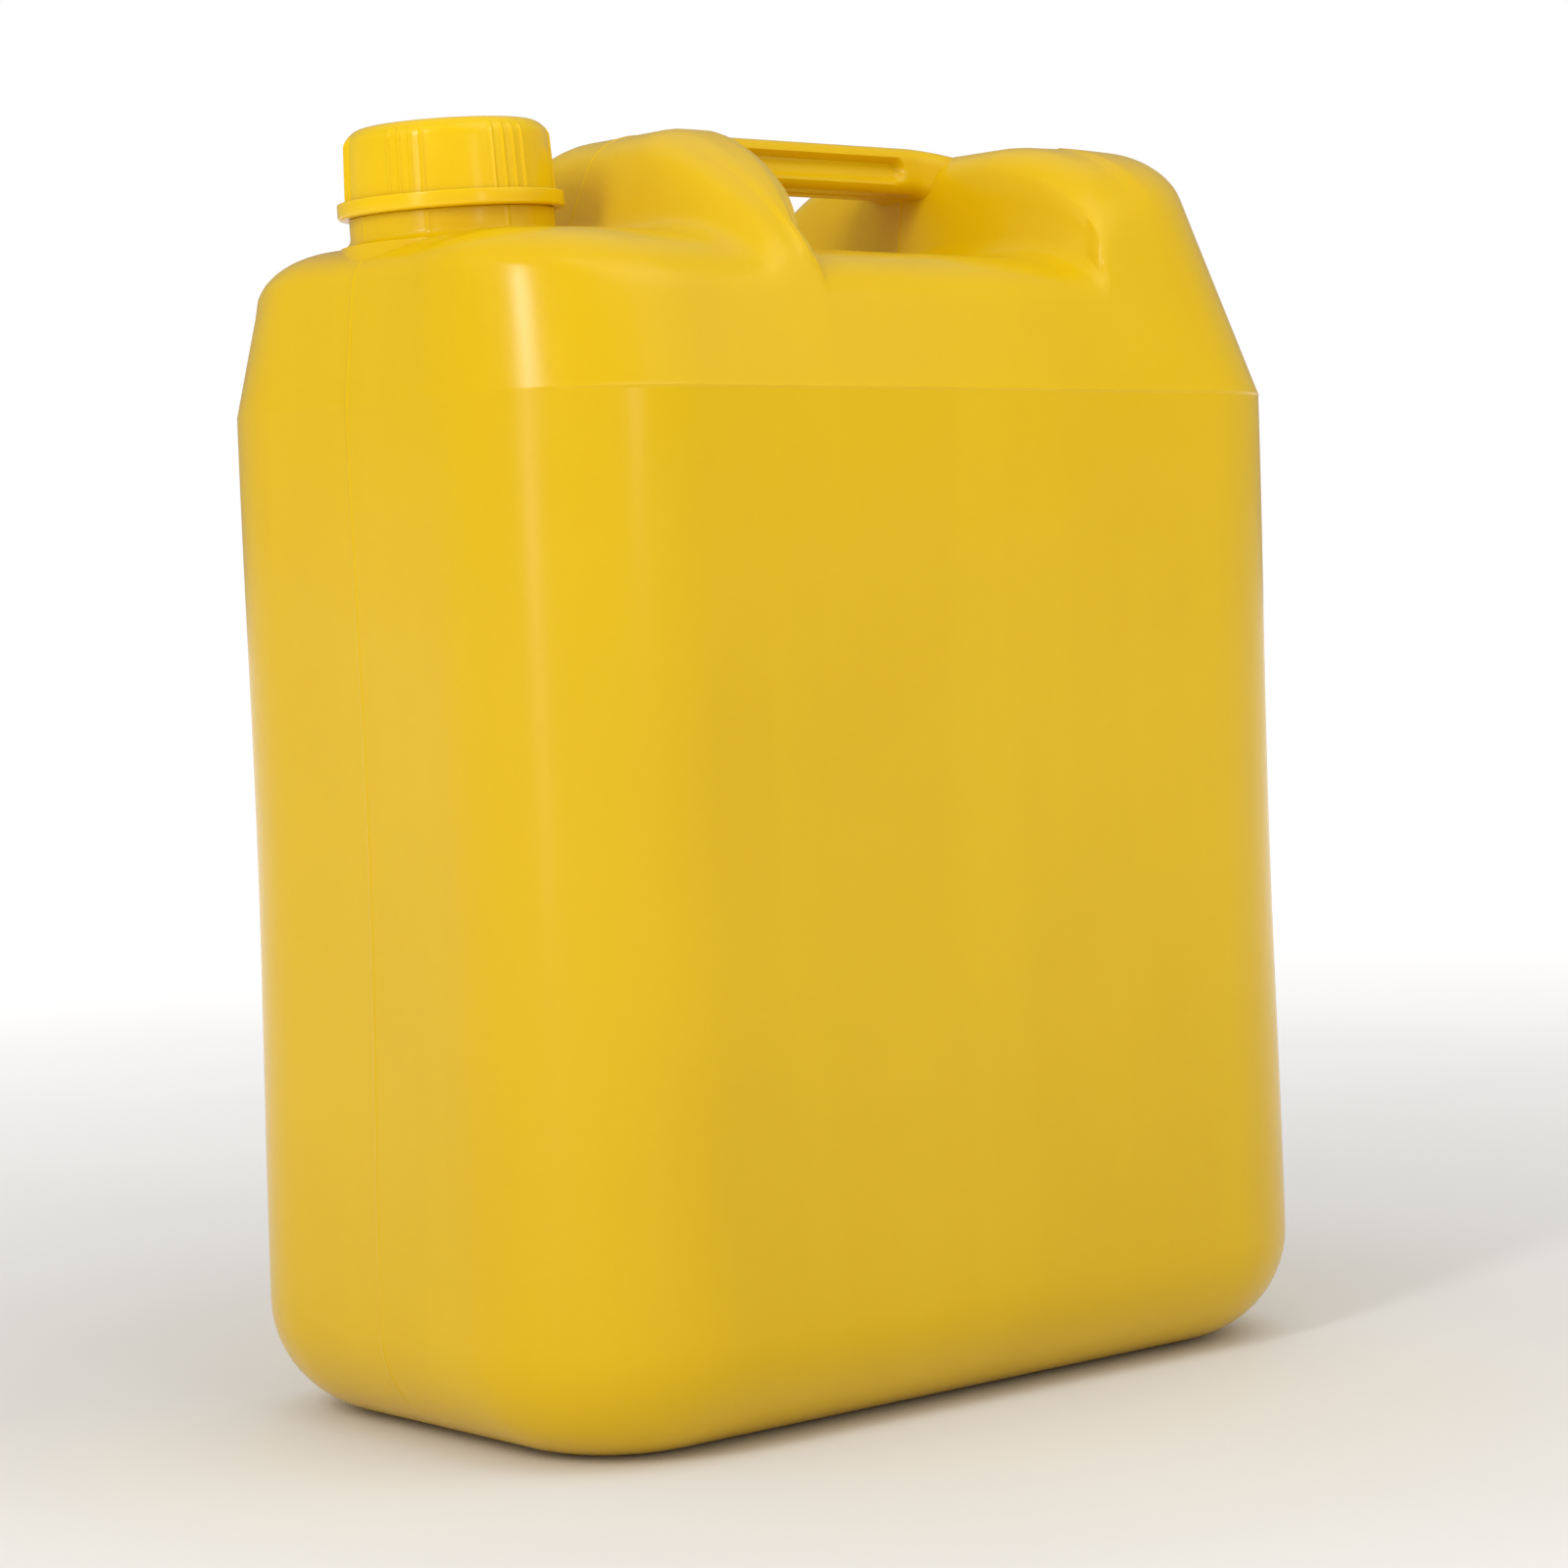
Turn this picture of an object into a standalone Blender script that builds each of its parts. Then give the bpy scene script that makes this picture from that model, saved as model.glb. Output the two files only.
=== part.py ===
"""A nominal 20-litre blow-moulded jerry can with a screw cap.

Metres, +Z up.  The origin is at the middle of the base.  The can's length runs along X with the
neck at -X, its width runs along Y, and the mould's parting plane is Y = 0.
"""

import math

import bmesh
import bpy
import numpy as np

# ---- the moulded body ----
HALF_LENGTH = 0.1604
HALF_WIDTH = 0.0977
BASE_FLARE = 0.0008          # the walls lean out this much from the shoulder to the base
RIDGE_Z = 0.310              # crease between the upright walls and the sloping shoulder
CORNER_RADIUS = 0.0545       # upright corners, in plan
BASE_RADIUS = 0.0357         # edge between the walls and the base
WALL = 0.0021
CORNER_SINK = 0.0008         # cooling draws the walls in at half height, corners least
PANEL_SINK = 0.0014
BASE_RECESS = 0.0020         # the base is pushed up inside a flat rim
RECESS_HALF = (0.102, 0.043)
RECESS_EDGE = 0.012

# ---- the top, seen from the side: deck, front tower, hand gap, rear tower ----
DECK_Z = 0.3590
GAP_FLOOR_Z = 0.3545
FRONT_TOP_Z = 0.3942
REAR_TOP_Z = 0.3926
TOP_OUTLINE = (              # x, z, rounding before and after the corner
    (-0.0780, DECK_Z, 0.008, 0.008),
    (-0.0630, FRONT_TOP_Z, 0.014, 0.018),
    (-0.0235, FRONT_TOP_Z, 0.012, 0.015),
    (-0.0215, GAP_FLOOR_Z, 0.008, 0.008),
    (0.0605, GAP_FLOOR_Z, 0.009, 0.009),
    (0.0640, REAR_TOP_Z, 0.012, 0.018),
)
BOW_X = (-0.102, -0.0780, -0.0630, -0.0245, -0.0210, 0.0600, 0.066, 0.0895)
BOW = (0.0, 0.0065, 0.0045, -0.028, -0.028, 0.0065, 0.0065, 0.0)   # flanks bow along X at BOW_Y
BOW_Y = 0.080
BOW_END_Y = 0.091            # beyond this the bow runs out, on the flat of the slope
SIDE_LEAN = 0.25             # run per rise of the sloping shoulder, on each side
END_LEANS = (0.11, 0.27)     # the same at the front and at the rear
LOW_EDGE = (0.018, 0.035, 0.78)    # drop, reach and fullness of the rounding over deck and gap
HIGH_EDGES = ((0.045, 0.058, 0.28), (0.034, 0.046, 0.62), (0.026, 0.040, 0.72))
HIGH_EDGE_X = (0.030, 0.060, 0.1059)   # the same over the towers, at these places along X
END_EDGES = ((0.014, 0.022, 0.75), (0.015, 0.019, 0.82))   # the same over the front and rear
SLOPE_RISES = (0.030, 0.058)  # how high the slope runs before it rounds over, front and rear

# ---- grid of the body's surface ----
COLUMNS = (-0.1059, -0.095, -0.0855, -0.080, -0.0765, -0.0733, -0.0695, -0.066, -0.0612, -0.054,
           -0.045, -0.038, -0.0320, -0.0275, -0.0248, -0.0234, -0.0224, -0.0212, -0.0180, -0.004,
           0.025, 0.049, 0.0562, 0.0595, 0.0611, 0.0623, 0.0633, 0.0646, 0.0665, 0.0700,
           0.076, 0.085, 0.095, 0.1059)
SHIFT_X = (-0.1059, -0.080, -0.058, -0.038, -0.018, 0.0, 0.057, 0.085, 0.1059)
SHIFT = (0, 1, 1, -1, -1, 0, 1, 1, 0)    # columns that move along with a flank drawn in
FIXED_COLUMNS = 0.082        # columns nearer the middle than this don't move along X
ROWS = (-0.0432, -0.033, -0.021, -0.007, 0.007, 0.021, 0.033, 0.0432)
ARC_STEPS = (3, 2)           # steps in each half of an upright corner, outside and hollow
SHOULDER_INSETS = (0.0, 0.0040, 0.0075, 0.0095, 0.0115, 0.0140, 0.0170, 0.0205, 0.025, 0.031,
                   0.038, 0.045, 0.0516)
WALL_HEIGHTS = ((0.0357, 0.104, 0.173, 0.242, 0.300), (0.0357, 0.173, 0.300))
BASE_STEPS = (4, 3)
FLAT_ANGLE = math.radians(0.7)   # faces closer to flat than this are merged

# ---- the handle between the towers ----
HANDLE_HALF_WIDTH = 0.0140
HANDLE_Z = (0.3791, 0.3940)
HANDLE_CORNER = 0.0045
HANDLE_X = (-0.034, 0.084)
HANDLE_FLARE = 0.003         # growth of its section where it runs into a tower
HANDLE_FLARE_X = (-0.026, 0.068)
POCKET_X = (-0.016, 0.0525)
POCKET_Z = (0.3823, 0.3900)
POCKET_DEPTH = 0.0040

# ---- neck, thread and closure: one axis, leaning forward, heights measured from the deck ----
AXIS_X = -0.1191
AXIS_TILT = math.radians(2.6)
BORE_RADIUS = 0.0245
COLLAR_RADIUS = 0.0308
COLLAR_TOP = 0.0078
FOOT_FLARE = 0.003
NECK_ROOT = -0.009
GROOVE_RADIUS = 0.0298
BEAD_RADIUS = 0.0313
BEAD_Z = (0.0102, 0.0122)
NECK_RADIUS = 0.0270
NECK_TOP = 0.0296
THREAD_PITCH = 0.0060
THREAD_STEPS = 40
THREAD_START = math.radians(2.0)
THREAD_TURNS = 1.9
NECK_THREAD_CREST = 0.0286
NECK_THREAD_Z = 0.0144
CAP_RADIUS = 0.0311
CAP_DRAFT = 0.0007
CAP_BORE = 0.0292
CAP_THREAD_CREST = 0.0275
CAP_THREAD_Z = NECK_THREAD_Z + THREAD_PITCH / 2
CAP_THREAD_TURNS = 1.4
CAP_Z = (0.0131, 0.0345)
CAP_ROOF = 0.0022
CAP_EDGE = 0.0055            # rounding between the cap's side and its top
RIB_GROUPS = 6
RIBS_PER_GROUP = 4
RIB_STEP = math.radians(6.8)
RIB_GROUP_ANGLE = math.radians(29.9)
RIB_HEIGHT = 0.0005
RIB_HALF_WIDTH = math.radians(1.1)
LINER_RADIUS = 0.0284
LINER_Z = (0.0299, 0.0320)
RING_Z = (0.0080, 0.0128)
RING_RADIUS = 0.0341
RING_BORE = 0.0317
RING_LIP_BORE = 0.0302
RING_LIP_Z = (0.0084, 0.0097)
TURNED_STEPS = 48


def srgb(red, green, blue):
    """An 8-bit sRGB colour as a linear RGBA value."""
    linear = [((c / 255 + 0.055) / 1.055) ** 2.4 for c in (red, green, blue)]
    return (*linear, 1.0)


def material(name, colour, roughness):
    made = bpy.data.materials.new(name)
    made.use_nodes = True
    shader = made.node_tree.nodes["Principled BSDF"]
    shader.inputs["Base Color"].default_value = colour
    shader.inputs["Roughness"].default_value = roughness
    shader.inputs["Metallic"].default_value = 0.0
    return made


# ---- curves of the body ----

def conic(start, corner, end, count):
    """Points on a near-circular arc that leaves start and reaches end, both aimed at corner."""
    start, corner, end = (np.array(p, float) for p in (start, corner, end))
    arrive, leave = corner - start, end - corner
    turn = math.acos(np.clip(arrive @ leave / math.sqrt(arrive @ arrive * (leave @ leave)), -1, 1))
    weight = math.cos(turn / 2)
    t = np.linspace(0, 1, count)[:, None]
    blend = (1 - t) ** 2, 2 * weight * t * (1 - t), t ** 2
    return (blend[0] * start + blend[1] * corner + blend[2] * end) / sum(blend)


def top_line(draw_in):
    """The top's outline along X, drawn into the material: straights joined by rounded corners."""
    ends = (-HALF_LENGTH, DECK_Z), (HALF_LENGTH, REAR_TOP_Z)
    corners = [np.array(c[:2]) for c in TOP_OUTLINE]
    path = [ends[0], *corners, ends[1]]
    points = [np.array([ends[0]])]
    for i, (_, _, before, after) in enumerate(TOP_OUTLINE):
        corner = corners[i]
        back = np.array(path[i]) - corner
        ahead = np.array(path[i + 2]) - corner
        start = corner + back * before / math.hypot(*back)
        end = corner + ahead * after / math.hypot(*ahead)
        points.append(conic(start, corner, end, 24))
    points.append(np.array([ends[1]]))
    line = np.vstack(points)
    along = np.gradient(line, axis=0)
    inward = np.column_stack([along[:, 1], -along[:, 0]])
    return line + inward * draw_in / np.hypot(along[:, 0], along[:, 1])[:, None]


def rounded_slope(inset, lean, top, edge):
    """Height at a plan distance inside the ridge: up the slope, then over a rounding to the top."""
    drop, reach, weight = edge
    corner = lean * (top - RIDGE_Z)
    start = corner - lean * drop
    end = corner + reach
    if inset <= start:
        return RIDGE_Z + inset / lean
    if inset >= end:
        return top
    first = start - inset
    second = 2 * weight * (corner - inset)
    third = end - inset
    root = math.sqrt(second * second - 4 * first * third)
    t = (2 * first - second + root) / (2 * (first - second + third))
    blend = (1 - t) ** 2, 2 * weight * t * (1 - t), t ** 2
    return (blend[0] * (top - drop) + (blend[1] + blend[2]) * top) / sum(blend)


def bow(x, y):
    """Shift along X that bends the towers' flanks as they near the can's sides."""
    share = min(1.0, (y / BOW_Y) ** 2)
    fade = np.interp(abs(y), (BOW_END_Y, HALF_WIDTH), (1, 0))
    return float(np.interp(x, BOW_X, BOW) * share * fade)


# ---- the body's surface, as a grid folded over a rounded box ----

class Ring:
    """One level of the skin: how far it lies inside the wall line, and its height.

    Its side inset is made up of a rise up the slope and an edge share of the rounding; height is
    None on the shoulder, where it follows from the place.
    """

    def __init__(self, side, height=None):
        self.side = side
        self.height = height
        if height is None:
            self.rises = [min(side / SIDE_LEAN, rise) for rise in SLOPE_RISES]
            self.edges = [side - SIDE_LEAN * rise for rise in self.rises]
            self.ends = [lean * rise + edge
                         for lean, rise, edge in zip(END_LEANS, self.rises, self.edges)]
        else:
            self.rises = (0.0, 0.0)
            self.edges = self.ends = (side, side)


class Skin:
    """The can's surface without neck and handle; draw_in moves all of it into the material."""

    def __init__(self, draw_in=0.0, grid=0):
        self.grid = grid
        self.half_length = HALF_LENGTH - draw_in
        self.half_width = HALF_WIDTH - draw_in
        self.corner = CORNER_RADIUS - draw_in
        self.base_z = draw_in
        self.base_radius = BASE_RADIUS - draw_in
        self.tops = (DECK_Z - draw_in, REAR_TOP_Z - draw_in)
        self.low_top = GAP_FLOOR_Z - draw_in
        self.line = top_line(draw_in)
        arcs = [math.pi / 4 * step / ARC_STEPS[grid] for step in range(1, ARC_STEPS[grid] + 1)]
        before = [("before", a) for a in reversed(arcs)]
        after = [("after", a) for a in arcs]
        columns = [x + draw_in * float(np.interp(x, SHIFT_X, SHIFT)) for x in COLUMNS]
        self.columns = before + [("straight", x) for x in columns] + after
        self.rows = before + [("straight", y) for y in ROWS] + after

    def rings(self):
        """Levels from the base's flat to the edge of the roof."""
        rings = []
        for step in range(BASE_STEPS[self.grid]):
            angle = math.pi / 2 * step / BASE_STEPS[self.grid]
            inset = self.base_radius * (1 - math.sin(angle)) - BASE_FLARE
            rings.append(Ring(inset, self.base_z + self.base_radius * (1 - math.cos(angle))))
        for z in WALL_HEIGHTS[self.grid]:
            rings.append(Ring(-BASE_FLARE * (RIDGE_Z - z) / (RIDGE_Z - BASE_RADIUS), z))
        return rings + [Ring(inset) for inset in SHOULDER_INSETS]

    def top_height(self, x):
        return float(np.interp(x, self.line[:, 0], self.line[:, 1]))

    def side_edge(self, top, x):
        """Drop, reach and fullness of the side's rounding under a top of this height."""
        share = min(max((top - self.low_top) / (self.tops[1] - self.low_top), 0.0), 1.0)
        high = [float(np.interp(x, HIGH_EDGE_X, values)) for values in zip(*HIGH_EDGES)]
        return [low + (edge - low) * share for low, edge in zip(LOW_EDGE, high)]

    def side_height(self, inset, top, x):
        return rounded_slope(inset, SIDE_LEAN, top, self.side_edge(top, x))

    def end_height(self, end, inset, x, y):
        """Height over the front or rear, under a top that already falls away to the sides."""
        top = self.side_height(self.half_width - abs(y), self.tops[end], x)
        return rounded_slope(inset, END_LEANS[end], top, END_EDGES[end])

    def half_straight(self, ring, end):
        """Half the length of a ring's front or rear between the corners' arcs."""
        return self.half_width - ring.side - (self.corner - ring.edges[end])

    def corner_height(self, ring, end, angle):
        """Height on an upright corner's arc; angle is 0 facing the side and 90 degrees the end."""
        limit = (-1, 1)[end] * self.half_length
        over_side = self.side_height(ring.side, self.tops[end], limit)
        over_end = self.end_height(end, ring.ends[end], limit, self.half_straight(ring, end))
        return over_side + (over_end - over_side) * math.sin(angle) ** 2

    def roof_height(self, x, y, station):
        height = self.side_height(self.half_width - abs(y), self.top_height(station), station)
        for end, sign in enumerate((-1, 1)):
            if sign * x > FIXED_COLUMNS:
                height = min(height, self.end_height(end, self.half_length - sign * x, x, y))
        return height

    def wall_point(self, x, y, z):
        """Draws the wall in at half height, most in the middle of each face."""
        level = math.sin(math.pi * min(max((z - BASE_RADIUS) / (RIDGE_Z - BASE_RADIUS), 0), 1)) ** 2
        along = math.cos(math.pi / 2 * min(1, abs(x) / HALF_LENGTH)) ** 2
        across = math.cos(math.pi / 2 * min(1, abs(y) / HALF_WIDTH)) ** 2
        pull_x = (CORNER_SINK + PANEL_SINK * across) * level / HALF_LENGTH
        pull_y = (CORNER_SINK + PANEL_SINK * along) * level / HALF_WIDTH
        return x * (1 - pull_x), y * (1 - pull_y), z

    def end_share(self, x):
        """How far a column follows the can's ends: 0 on the fixed columns, 1 on the last."""
        return min(max((abs(x) - FIXED_COLUMNS) / (COLUMNS[-1] - FIXED_COLUMNS), 0.0), 1.0)

    def station(self, ring, x):
        """A column's place on this ring: near the ends it makes room for the corners' arcs."""
        end = 0 if x < 0 else 1
        return x - math.copysign((ring.ends[end] - ring.edges[end]) * self.end_share(x), x)

    def long_side(self, ring):
        """Points along the ring's -Y side, with half of each corner."""
        points = []
        half_width = self.half_width - ring.side
        for kind, value in self.columns:
            if kind == "straight":
                place = self.station(ring, value)
                if ring.height is not None:
                    points.append(self.wall_point(place, -half_width, ring.height))
                    continue
                height = self.side_height(ring.side, self.top_height(place), place)
                points.append((place + bow(place, half_width), -half_width, height))
                continue
            end, sign = (0, -1) if kind == "before" else (1, 1)
            points.append(self.corner_point(ring, end, sign, value))
        return points

    def corner_point(self, ring, end, sign, angle):
        """A point on a -Y corner's arc; the angle is 0 facing the side."""
        radius = self.corner - ring.edges[end]
        x = sign * (self.half_length - ring.ends[end] + radius * (math.sin(angle) - 1))
        y = -(self.half_width - ring.side) + radius * (1 - math.cos(angle))
        if ring.height is not None:
            return self.wall_point(x, y, ring.height)
        return x, y, self.corner_height(ring, end, angle)

    def short_side(self, ring, end):
        """Points along the ring's front (end 0) or rear (end 1), with half of each corner."""
        sign = (-1, 1)[end]
        straight = self.half_straight(ring, end)
        inset = ring.ends[end]
        points = []
        for kind, value in self.rows:
            if kind == "straight":
                x = sign * (self.half_length - inset)
                y = value * straight / (HALF_WIDTH - CORNER_RADIUS)
                if ring.height is not None:
                    points.append(self.wall_point(x, y, ring.height))
                else:
                    points.append((x, y, self.end_height(end, inset, x, y)))
                continue
            x, y, z = self.corner_point(ring, end, sign, math.pi / 2 - value)
            points.append((x, y if kind == "before" else -y, z))
        return points

    def loop(self, ring):
        """The ring's points, once round from its -X -Y corner by +X -Y, +X +Y and -X +Y."""
        side = self.long_side(ring)
        far = [(x, -y, z) for x, y, z in side]
        return side + self.short_side(ring, 1)[1:] + far[-2::-1] + self.short_side(ring, 0)[-2:0:-1]

    def loop_index(self, i, j):
        """Index in a loop of the border vertex at column i and row j."""
        last_i, last_j = len(self.columns) - 1, len(self.rows) - 1
        if j == 0:
            return i
        if i == last_i:
            return last_i + j
        if j == last_j:
            return last_i + last_j + (last_i - i)
        return 2 * last_i + last_j + (last_j - j)

    def base_height(self, x, y, _station):
        """The base: a flat rim round a shallow push-up."""
        share = 1.0
        for place, half in zip((x, y), RECESS_HALF):
            t = min(max((half - abs(place)) / RECESS_EDGE, 0.0), 1.0)
            share *= t * t * (3 - 2 * t)
        return self.base_z + BASE_RECESS * share

    def inside(self, ring, loop, height):
        """Inner vertices of the grid that closes a loop, blended from its four sides."""
        last_i, last_j = len(self.columns) - 1, len(self.rows) - 1

        def edge(i, j):
            return np.array(loop[self.loop_index(i, j)][:2])

        corners = edge(0, 0), edge(last_i, 0), edge(0, last_j), edge(last_i, last_j)
        spans = corners[1][0] - corners[0][0], corners[2][1] - corners[0][1]
        inside = {}
        for i in range(1, last_i):
            kind, value = self.columns[i]
            station = self.station(ring, value) if kind == "straight" else edge(i, 0)[0]
            bends = ring.height is None and kind == "straight"
            for j in range(1, last_j):
                u = (edge(i, 0)[0] - corners[0][0]) / spans[0]
                v = (edge(0, j)[1] - corners[0][1]) / spans[1]
                place = (1 - v) * edge(i, 0) + v * edge(i, last_j)
                place = place + (1 - u) * edge(0, j) + u * edge(last_i, j)
                place = place - (1 - u) * ((1 - v) * corners[0] + v * corners[2])
                x, y = place - u * ((1 - v) * corners[1] + v * corners[3])
                if bends:
                    straight = edge(i, 0)[0] - bow(station, edge(i, 0)[1])
                    x = straight + (x - edge(i, 0)[0]) * self.end_share(value) + bow(station, y)
                inside[i, j] = (x, y, height(x, y, station))
        return inside

    def add_cover(self, bm, border, inside, upwards):
        """Fills a loop with a grid of faces."""
        inner = {key: bm.verts.new(point) for key, point in inside.items()}

        def vert(i, j):
            return inner[i, j] if (i, j) in inner else border[self.loop_index(i, j)]

        for i in range(len(self.columns) - 1):
            for j in range(len(self.rows) - 1):
                quad = [vert(i, j), vert(i + 1, j), vert(i + 1, j + 1), vert(i, j + 1)]
                bm.faces.new(quad if upwards else quad[::-1])

    def mesh(self):
        """The whole surface as one closed mesh."""
        rings = self.rings()
        loops = [self.loop(ring) for ring in rings]
        bm = bmesh.new()
        levels = [[bm.verts.new(point) for point in loop] for loop in loops]
        count = len(loops[0])
        for low, high in zip(levels, levels[1:]):
            for k in range(count):
                n = (k + 1) % count
                bm.faces.new((low[k], low[n], high[n], high[k]))
        base = self.inside(rings[0], loops[0], self.base_height)
        roof = self.inside(rings[-1], loops[-1], self.roof_height)
        self.add_cover(bm, levels[0], base, False)
        self.add_cover(bm, levels[-1], roof, True)
        bmesh.ops.recalc_face_normals(bm, faces=bm.faces)
        raised = [v for v in bm.verts if v.co.z > BASE_RADIUS / 2]
        joined = [e for e in bm.edges if all(v.co.z > BASE_RADIUS / 2 for v in e.verts)]
        bmesh.ops.dissolve_limit(bm, angle_limit=FLAT_ANGLE, verts=raised, edges=joined)
        return bm


# ---- turned, swept and lofted shapes ----

def new_object(name, bm, finish=None, guide=False):
    mesh = bpy.data.meshes.new(name)
    bm.to_mesh(mesh)
    bm.free()
    made = bpy.data.objects.new(name, mesh)
    bpy.context.scene.collection.objects.link(made)
    if finish:
        mesh.materials.append(finish)
    if guide:
        made.hide_render = True
        made.display_type = "WIRE"
    return made


def turned(profile, steps=TURNED_STEPS):
    """A solid of revolution about Z from (radius, z) points that start and end on the axis."""
    bm = bmesh.new()
    bottom = bm.verts.new((0, 0, profile[0][1]))
    top = bm.verts.new((0, 0, profile[-1][1]))
    angles = [2 * math.pi * k / steps for k in range(steps)]
    loops = []
    for radius, z in profile[1:-1]:
        loops.append([bm.verts.new((radius * math.cos(a), radius * math.sin(a), z)) for a in angles])
    for k in range(steps):
        n = (k + 1) % steps
        bm.faces.new((bottom, loops[0][n], loops[0][k]))
        bm.faces.new((top, loops[-1][k], loops[-1][n]))
        for low, high in zip(loops, loops[1:]):
            bm.faces.new((low[k], low[n], high[n], high[k]))
    return bm


def turned_tube(profile, steps=TURNED_STEPS):
    """A ring turned from a closed (radius, z) outline that keeps clear of the axis."""
    bm = bmesh.new()
    angles = [2 * math.pi * k / steps for k in range(steps)]
    loops = []
    for radius, z in profile:
        loops.append([bm.verts.new((radius * math.cos(a), radius * math.sin(a), z)) for a in angles])
    for k in range(steps):
        n = (k + 1) % steps
        for low, high in zip(loops, loops[1:] + loops[:1]):
            bm.faces.new((low[k], low[n], high[n], high[k]))
    bmesh.ops.recalc_face_normals(bm, faces=bm.faces)
    return bm


def thread(root, crest, start_z, turns, depth_in):
    """A helical ridge from root to crest radius; it sinks depth_in into the wall it grows from."""
    steps = round(THREAD_STEPS * turns)
    foot, tip = 0.0013, 0.0005
    outward = 1 if crest > root else -1
    bm = bmesh.new()
    sections = []
    for k in range(steps + 1):
        angle = THREAD_START + 2 * math.pi * turns * k / steps
        fade = min(1.0, 6 * min(k, steps - k) / THREAD_STEPS)
        z = start_z + THREAD_PITCH * turns * k / steps
        reach = root + (crest - root) * (0.05 + 0.95 * fade)
        inner = root - outward * depth_in
        section = ((inner, z - foot), (reach, z - tip), (reach, z + tip), (inner, z + foot))
        sections.append([bm.verts.new((r * math.cos(angle), r * math.sin(angle), h))
                         for r, h in section])
    for low, high in zip(sections, sections[1:]):
        for k in range(4):
            bm.faces.new((low[k], low[(k + 1) % 4], high[(k + 1) % 4], high[k]))
    bm.faces.new(sections[0])
    bm.faces.new(sections[-1])
    bmesh.ops.recalc_face_normals(bm, faces=bm.faces)
    return bm


def rounded_section(half_width, low, high, radius, steps=3):
    """Corner-rounded rectangle in Y and Z, anticlockwise."""
    points = []
    for sign_y, sign_z, start in ((1, 1, 0), (-1, 1, 90), (-1, -1, 180), (1, -1, 270)):
        y = sign_y * (half_width - radius)
        z = (high - radius) if sign_z > 0 else (low + radius)
        for step in range(steps + 1):
            angle = math.radians(start + 90 * step / steps)
            points.append((y + radius * math.cos(angle), z + radius * math.sin(angle)))
    return points


def handle_bar():
    """The grip, lofted along X; its section grows where it runs into the towers."""
    xs = np.concatenate([np.linspace(HANDLE_X[0], HANDLE_FLARE_X[0] + 0.010, 6),
                         np.linspace(HANDLE_FLARE_X[1] - 0.010, HANDLE_X[1], 6)])
    bm = bmesh.new()
    loops = []
    for x in xs:
        outside = max(HANDLE_FLARE_X[0] + 0.008 - x, x - HANDLE_FLARE_X[1] + 0.008, 0.0)
        flare = HANDLE_FLARE * min(1.0, outside / 0.010) ** 2
        section = rounded_section(HANDLE_HALF_WIDTH + flare, HANDLE_Z[0] - flare,
                                  HANDLE_Z[1], HANDLE_CORNER)
        loops.append([bm.verts.new((x, y, z)) for y, z in section])
    count = len(loops[0])
    for low, high in zip(loops, loops[1:]):
        for k in range(count):
            n = (k + 1) % count
            bm.faces.new((low[k], low[n], high[n], high[k]))
    bm.faces.new(loops[0])
    bm.faces.new(loops[-1])
    bmesh.ops.recalc_face_normals(bm, faces=bm.faces)
    return bm


def handle_pocket(side):
    """The long shallow recess in one side of the grip, with round ends."""
    low, high = POCKET_Z
    radius = (high - low) / 2
    middle = (low + high) / 2
    outline = []
    for centre, start in ((POCKET_X[1] - radius, -90), (POCKET_X[0] + radius, 90)):
        for step in range(7):
            angle = math.radians(start + 180 * step / 6)
            outline.append((centre + radius * math.cos(angle), middle + radius * math.sin(angle)))
    inner = side * (HANDLE_HALF_WIDTH - POCKET_DEPTH)
    outer = side * (HANDLE_HALF_WIDTH + 0.003)
    bm = bmesh.new()
    loops = [[bm.verts.new((x, y, z)) for x, z in outline] for y in (inner, outer)]
    count = len(outline)
    for k in range(count):
        n = (k + 1) % count
        bm.faces.new((loops[0][k], loops[0][n], loops[1][n], loops[1][k]))
    bm.faces.new(loops[0])
    bm.faces.new(loops[1])
    bmesh.ops.recalc_face_normals(bm, faces=bm.faces)
    return bm


def neck_profile():
    profile = [(0, NECK_ROOT), (COLLAR_RADIUS + FOOT_FLARE, NECK_ROOT)]
    for step in range(4):
        angle = math.pi / 2 * step / 3
        profile.append((COLLAR_RADIUS + FOOT_FLARE * (1 - math.sin(angle)),
                        FOOT_FLARE * (1 - math.cos(angle)) - 0.0005))
    profile += [
        (COLLAR_RADIUS, COLLAR_TOP),
        (GROOVE_RADIUS, COLLAR_TOP + 0.0003),
        (GROOVE_RADIUS, BEAD_Z[0]),
        (BEAD_RADIUS, BEAD_Z[0] + 0.0003),
        (BEAD_RADIUS, BEAD_Z[0] + 0.0009),
        (NECK_RADIUS, BEAD_Z[1]),
        (NECK_RADIUS, NECK_TOP - 0.0008),
        (NECK_RADIUS - 0.0008, NECK_TOP),
        (0, NECK_TOP),
    ]
    return profile


def bore_profile():
    low, high = NECK_ROOT - 0.004, NECK_TOP + 0.004
    wide = BORE_RADIUS + 0.0008
    return [(0, low), (BORE_RADIUS, low), (BORE_RADIUS, NECK_TOP - 0.0010),
            (wide, NECK_TOP - 0.0002), (wide, high), (0, high)]


# ---- the pieces ----

def combine(target, tool, operation):
    step = target.modifiers.new(tool.name, "BOOLEAN")
    step.operation = operation
    step.object = tool
    step.solver = "EXACT"


def smooth(made, angle=35):
    made.data.shade_smooth()
    made.data.set_sharp_from_angle(angle=math.radians(angle))


def on_axis(made):
    """Stands a turned shape on the deck, on the leaning axis of the neck."""
    made.location = (AXIS_X, 0.0, DECK_Z)
    made.rotation_euler.y = -AXIS_TILT
    return made


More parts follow.
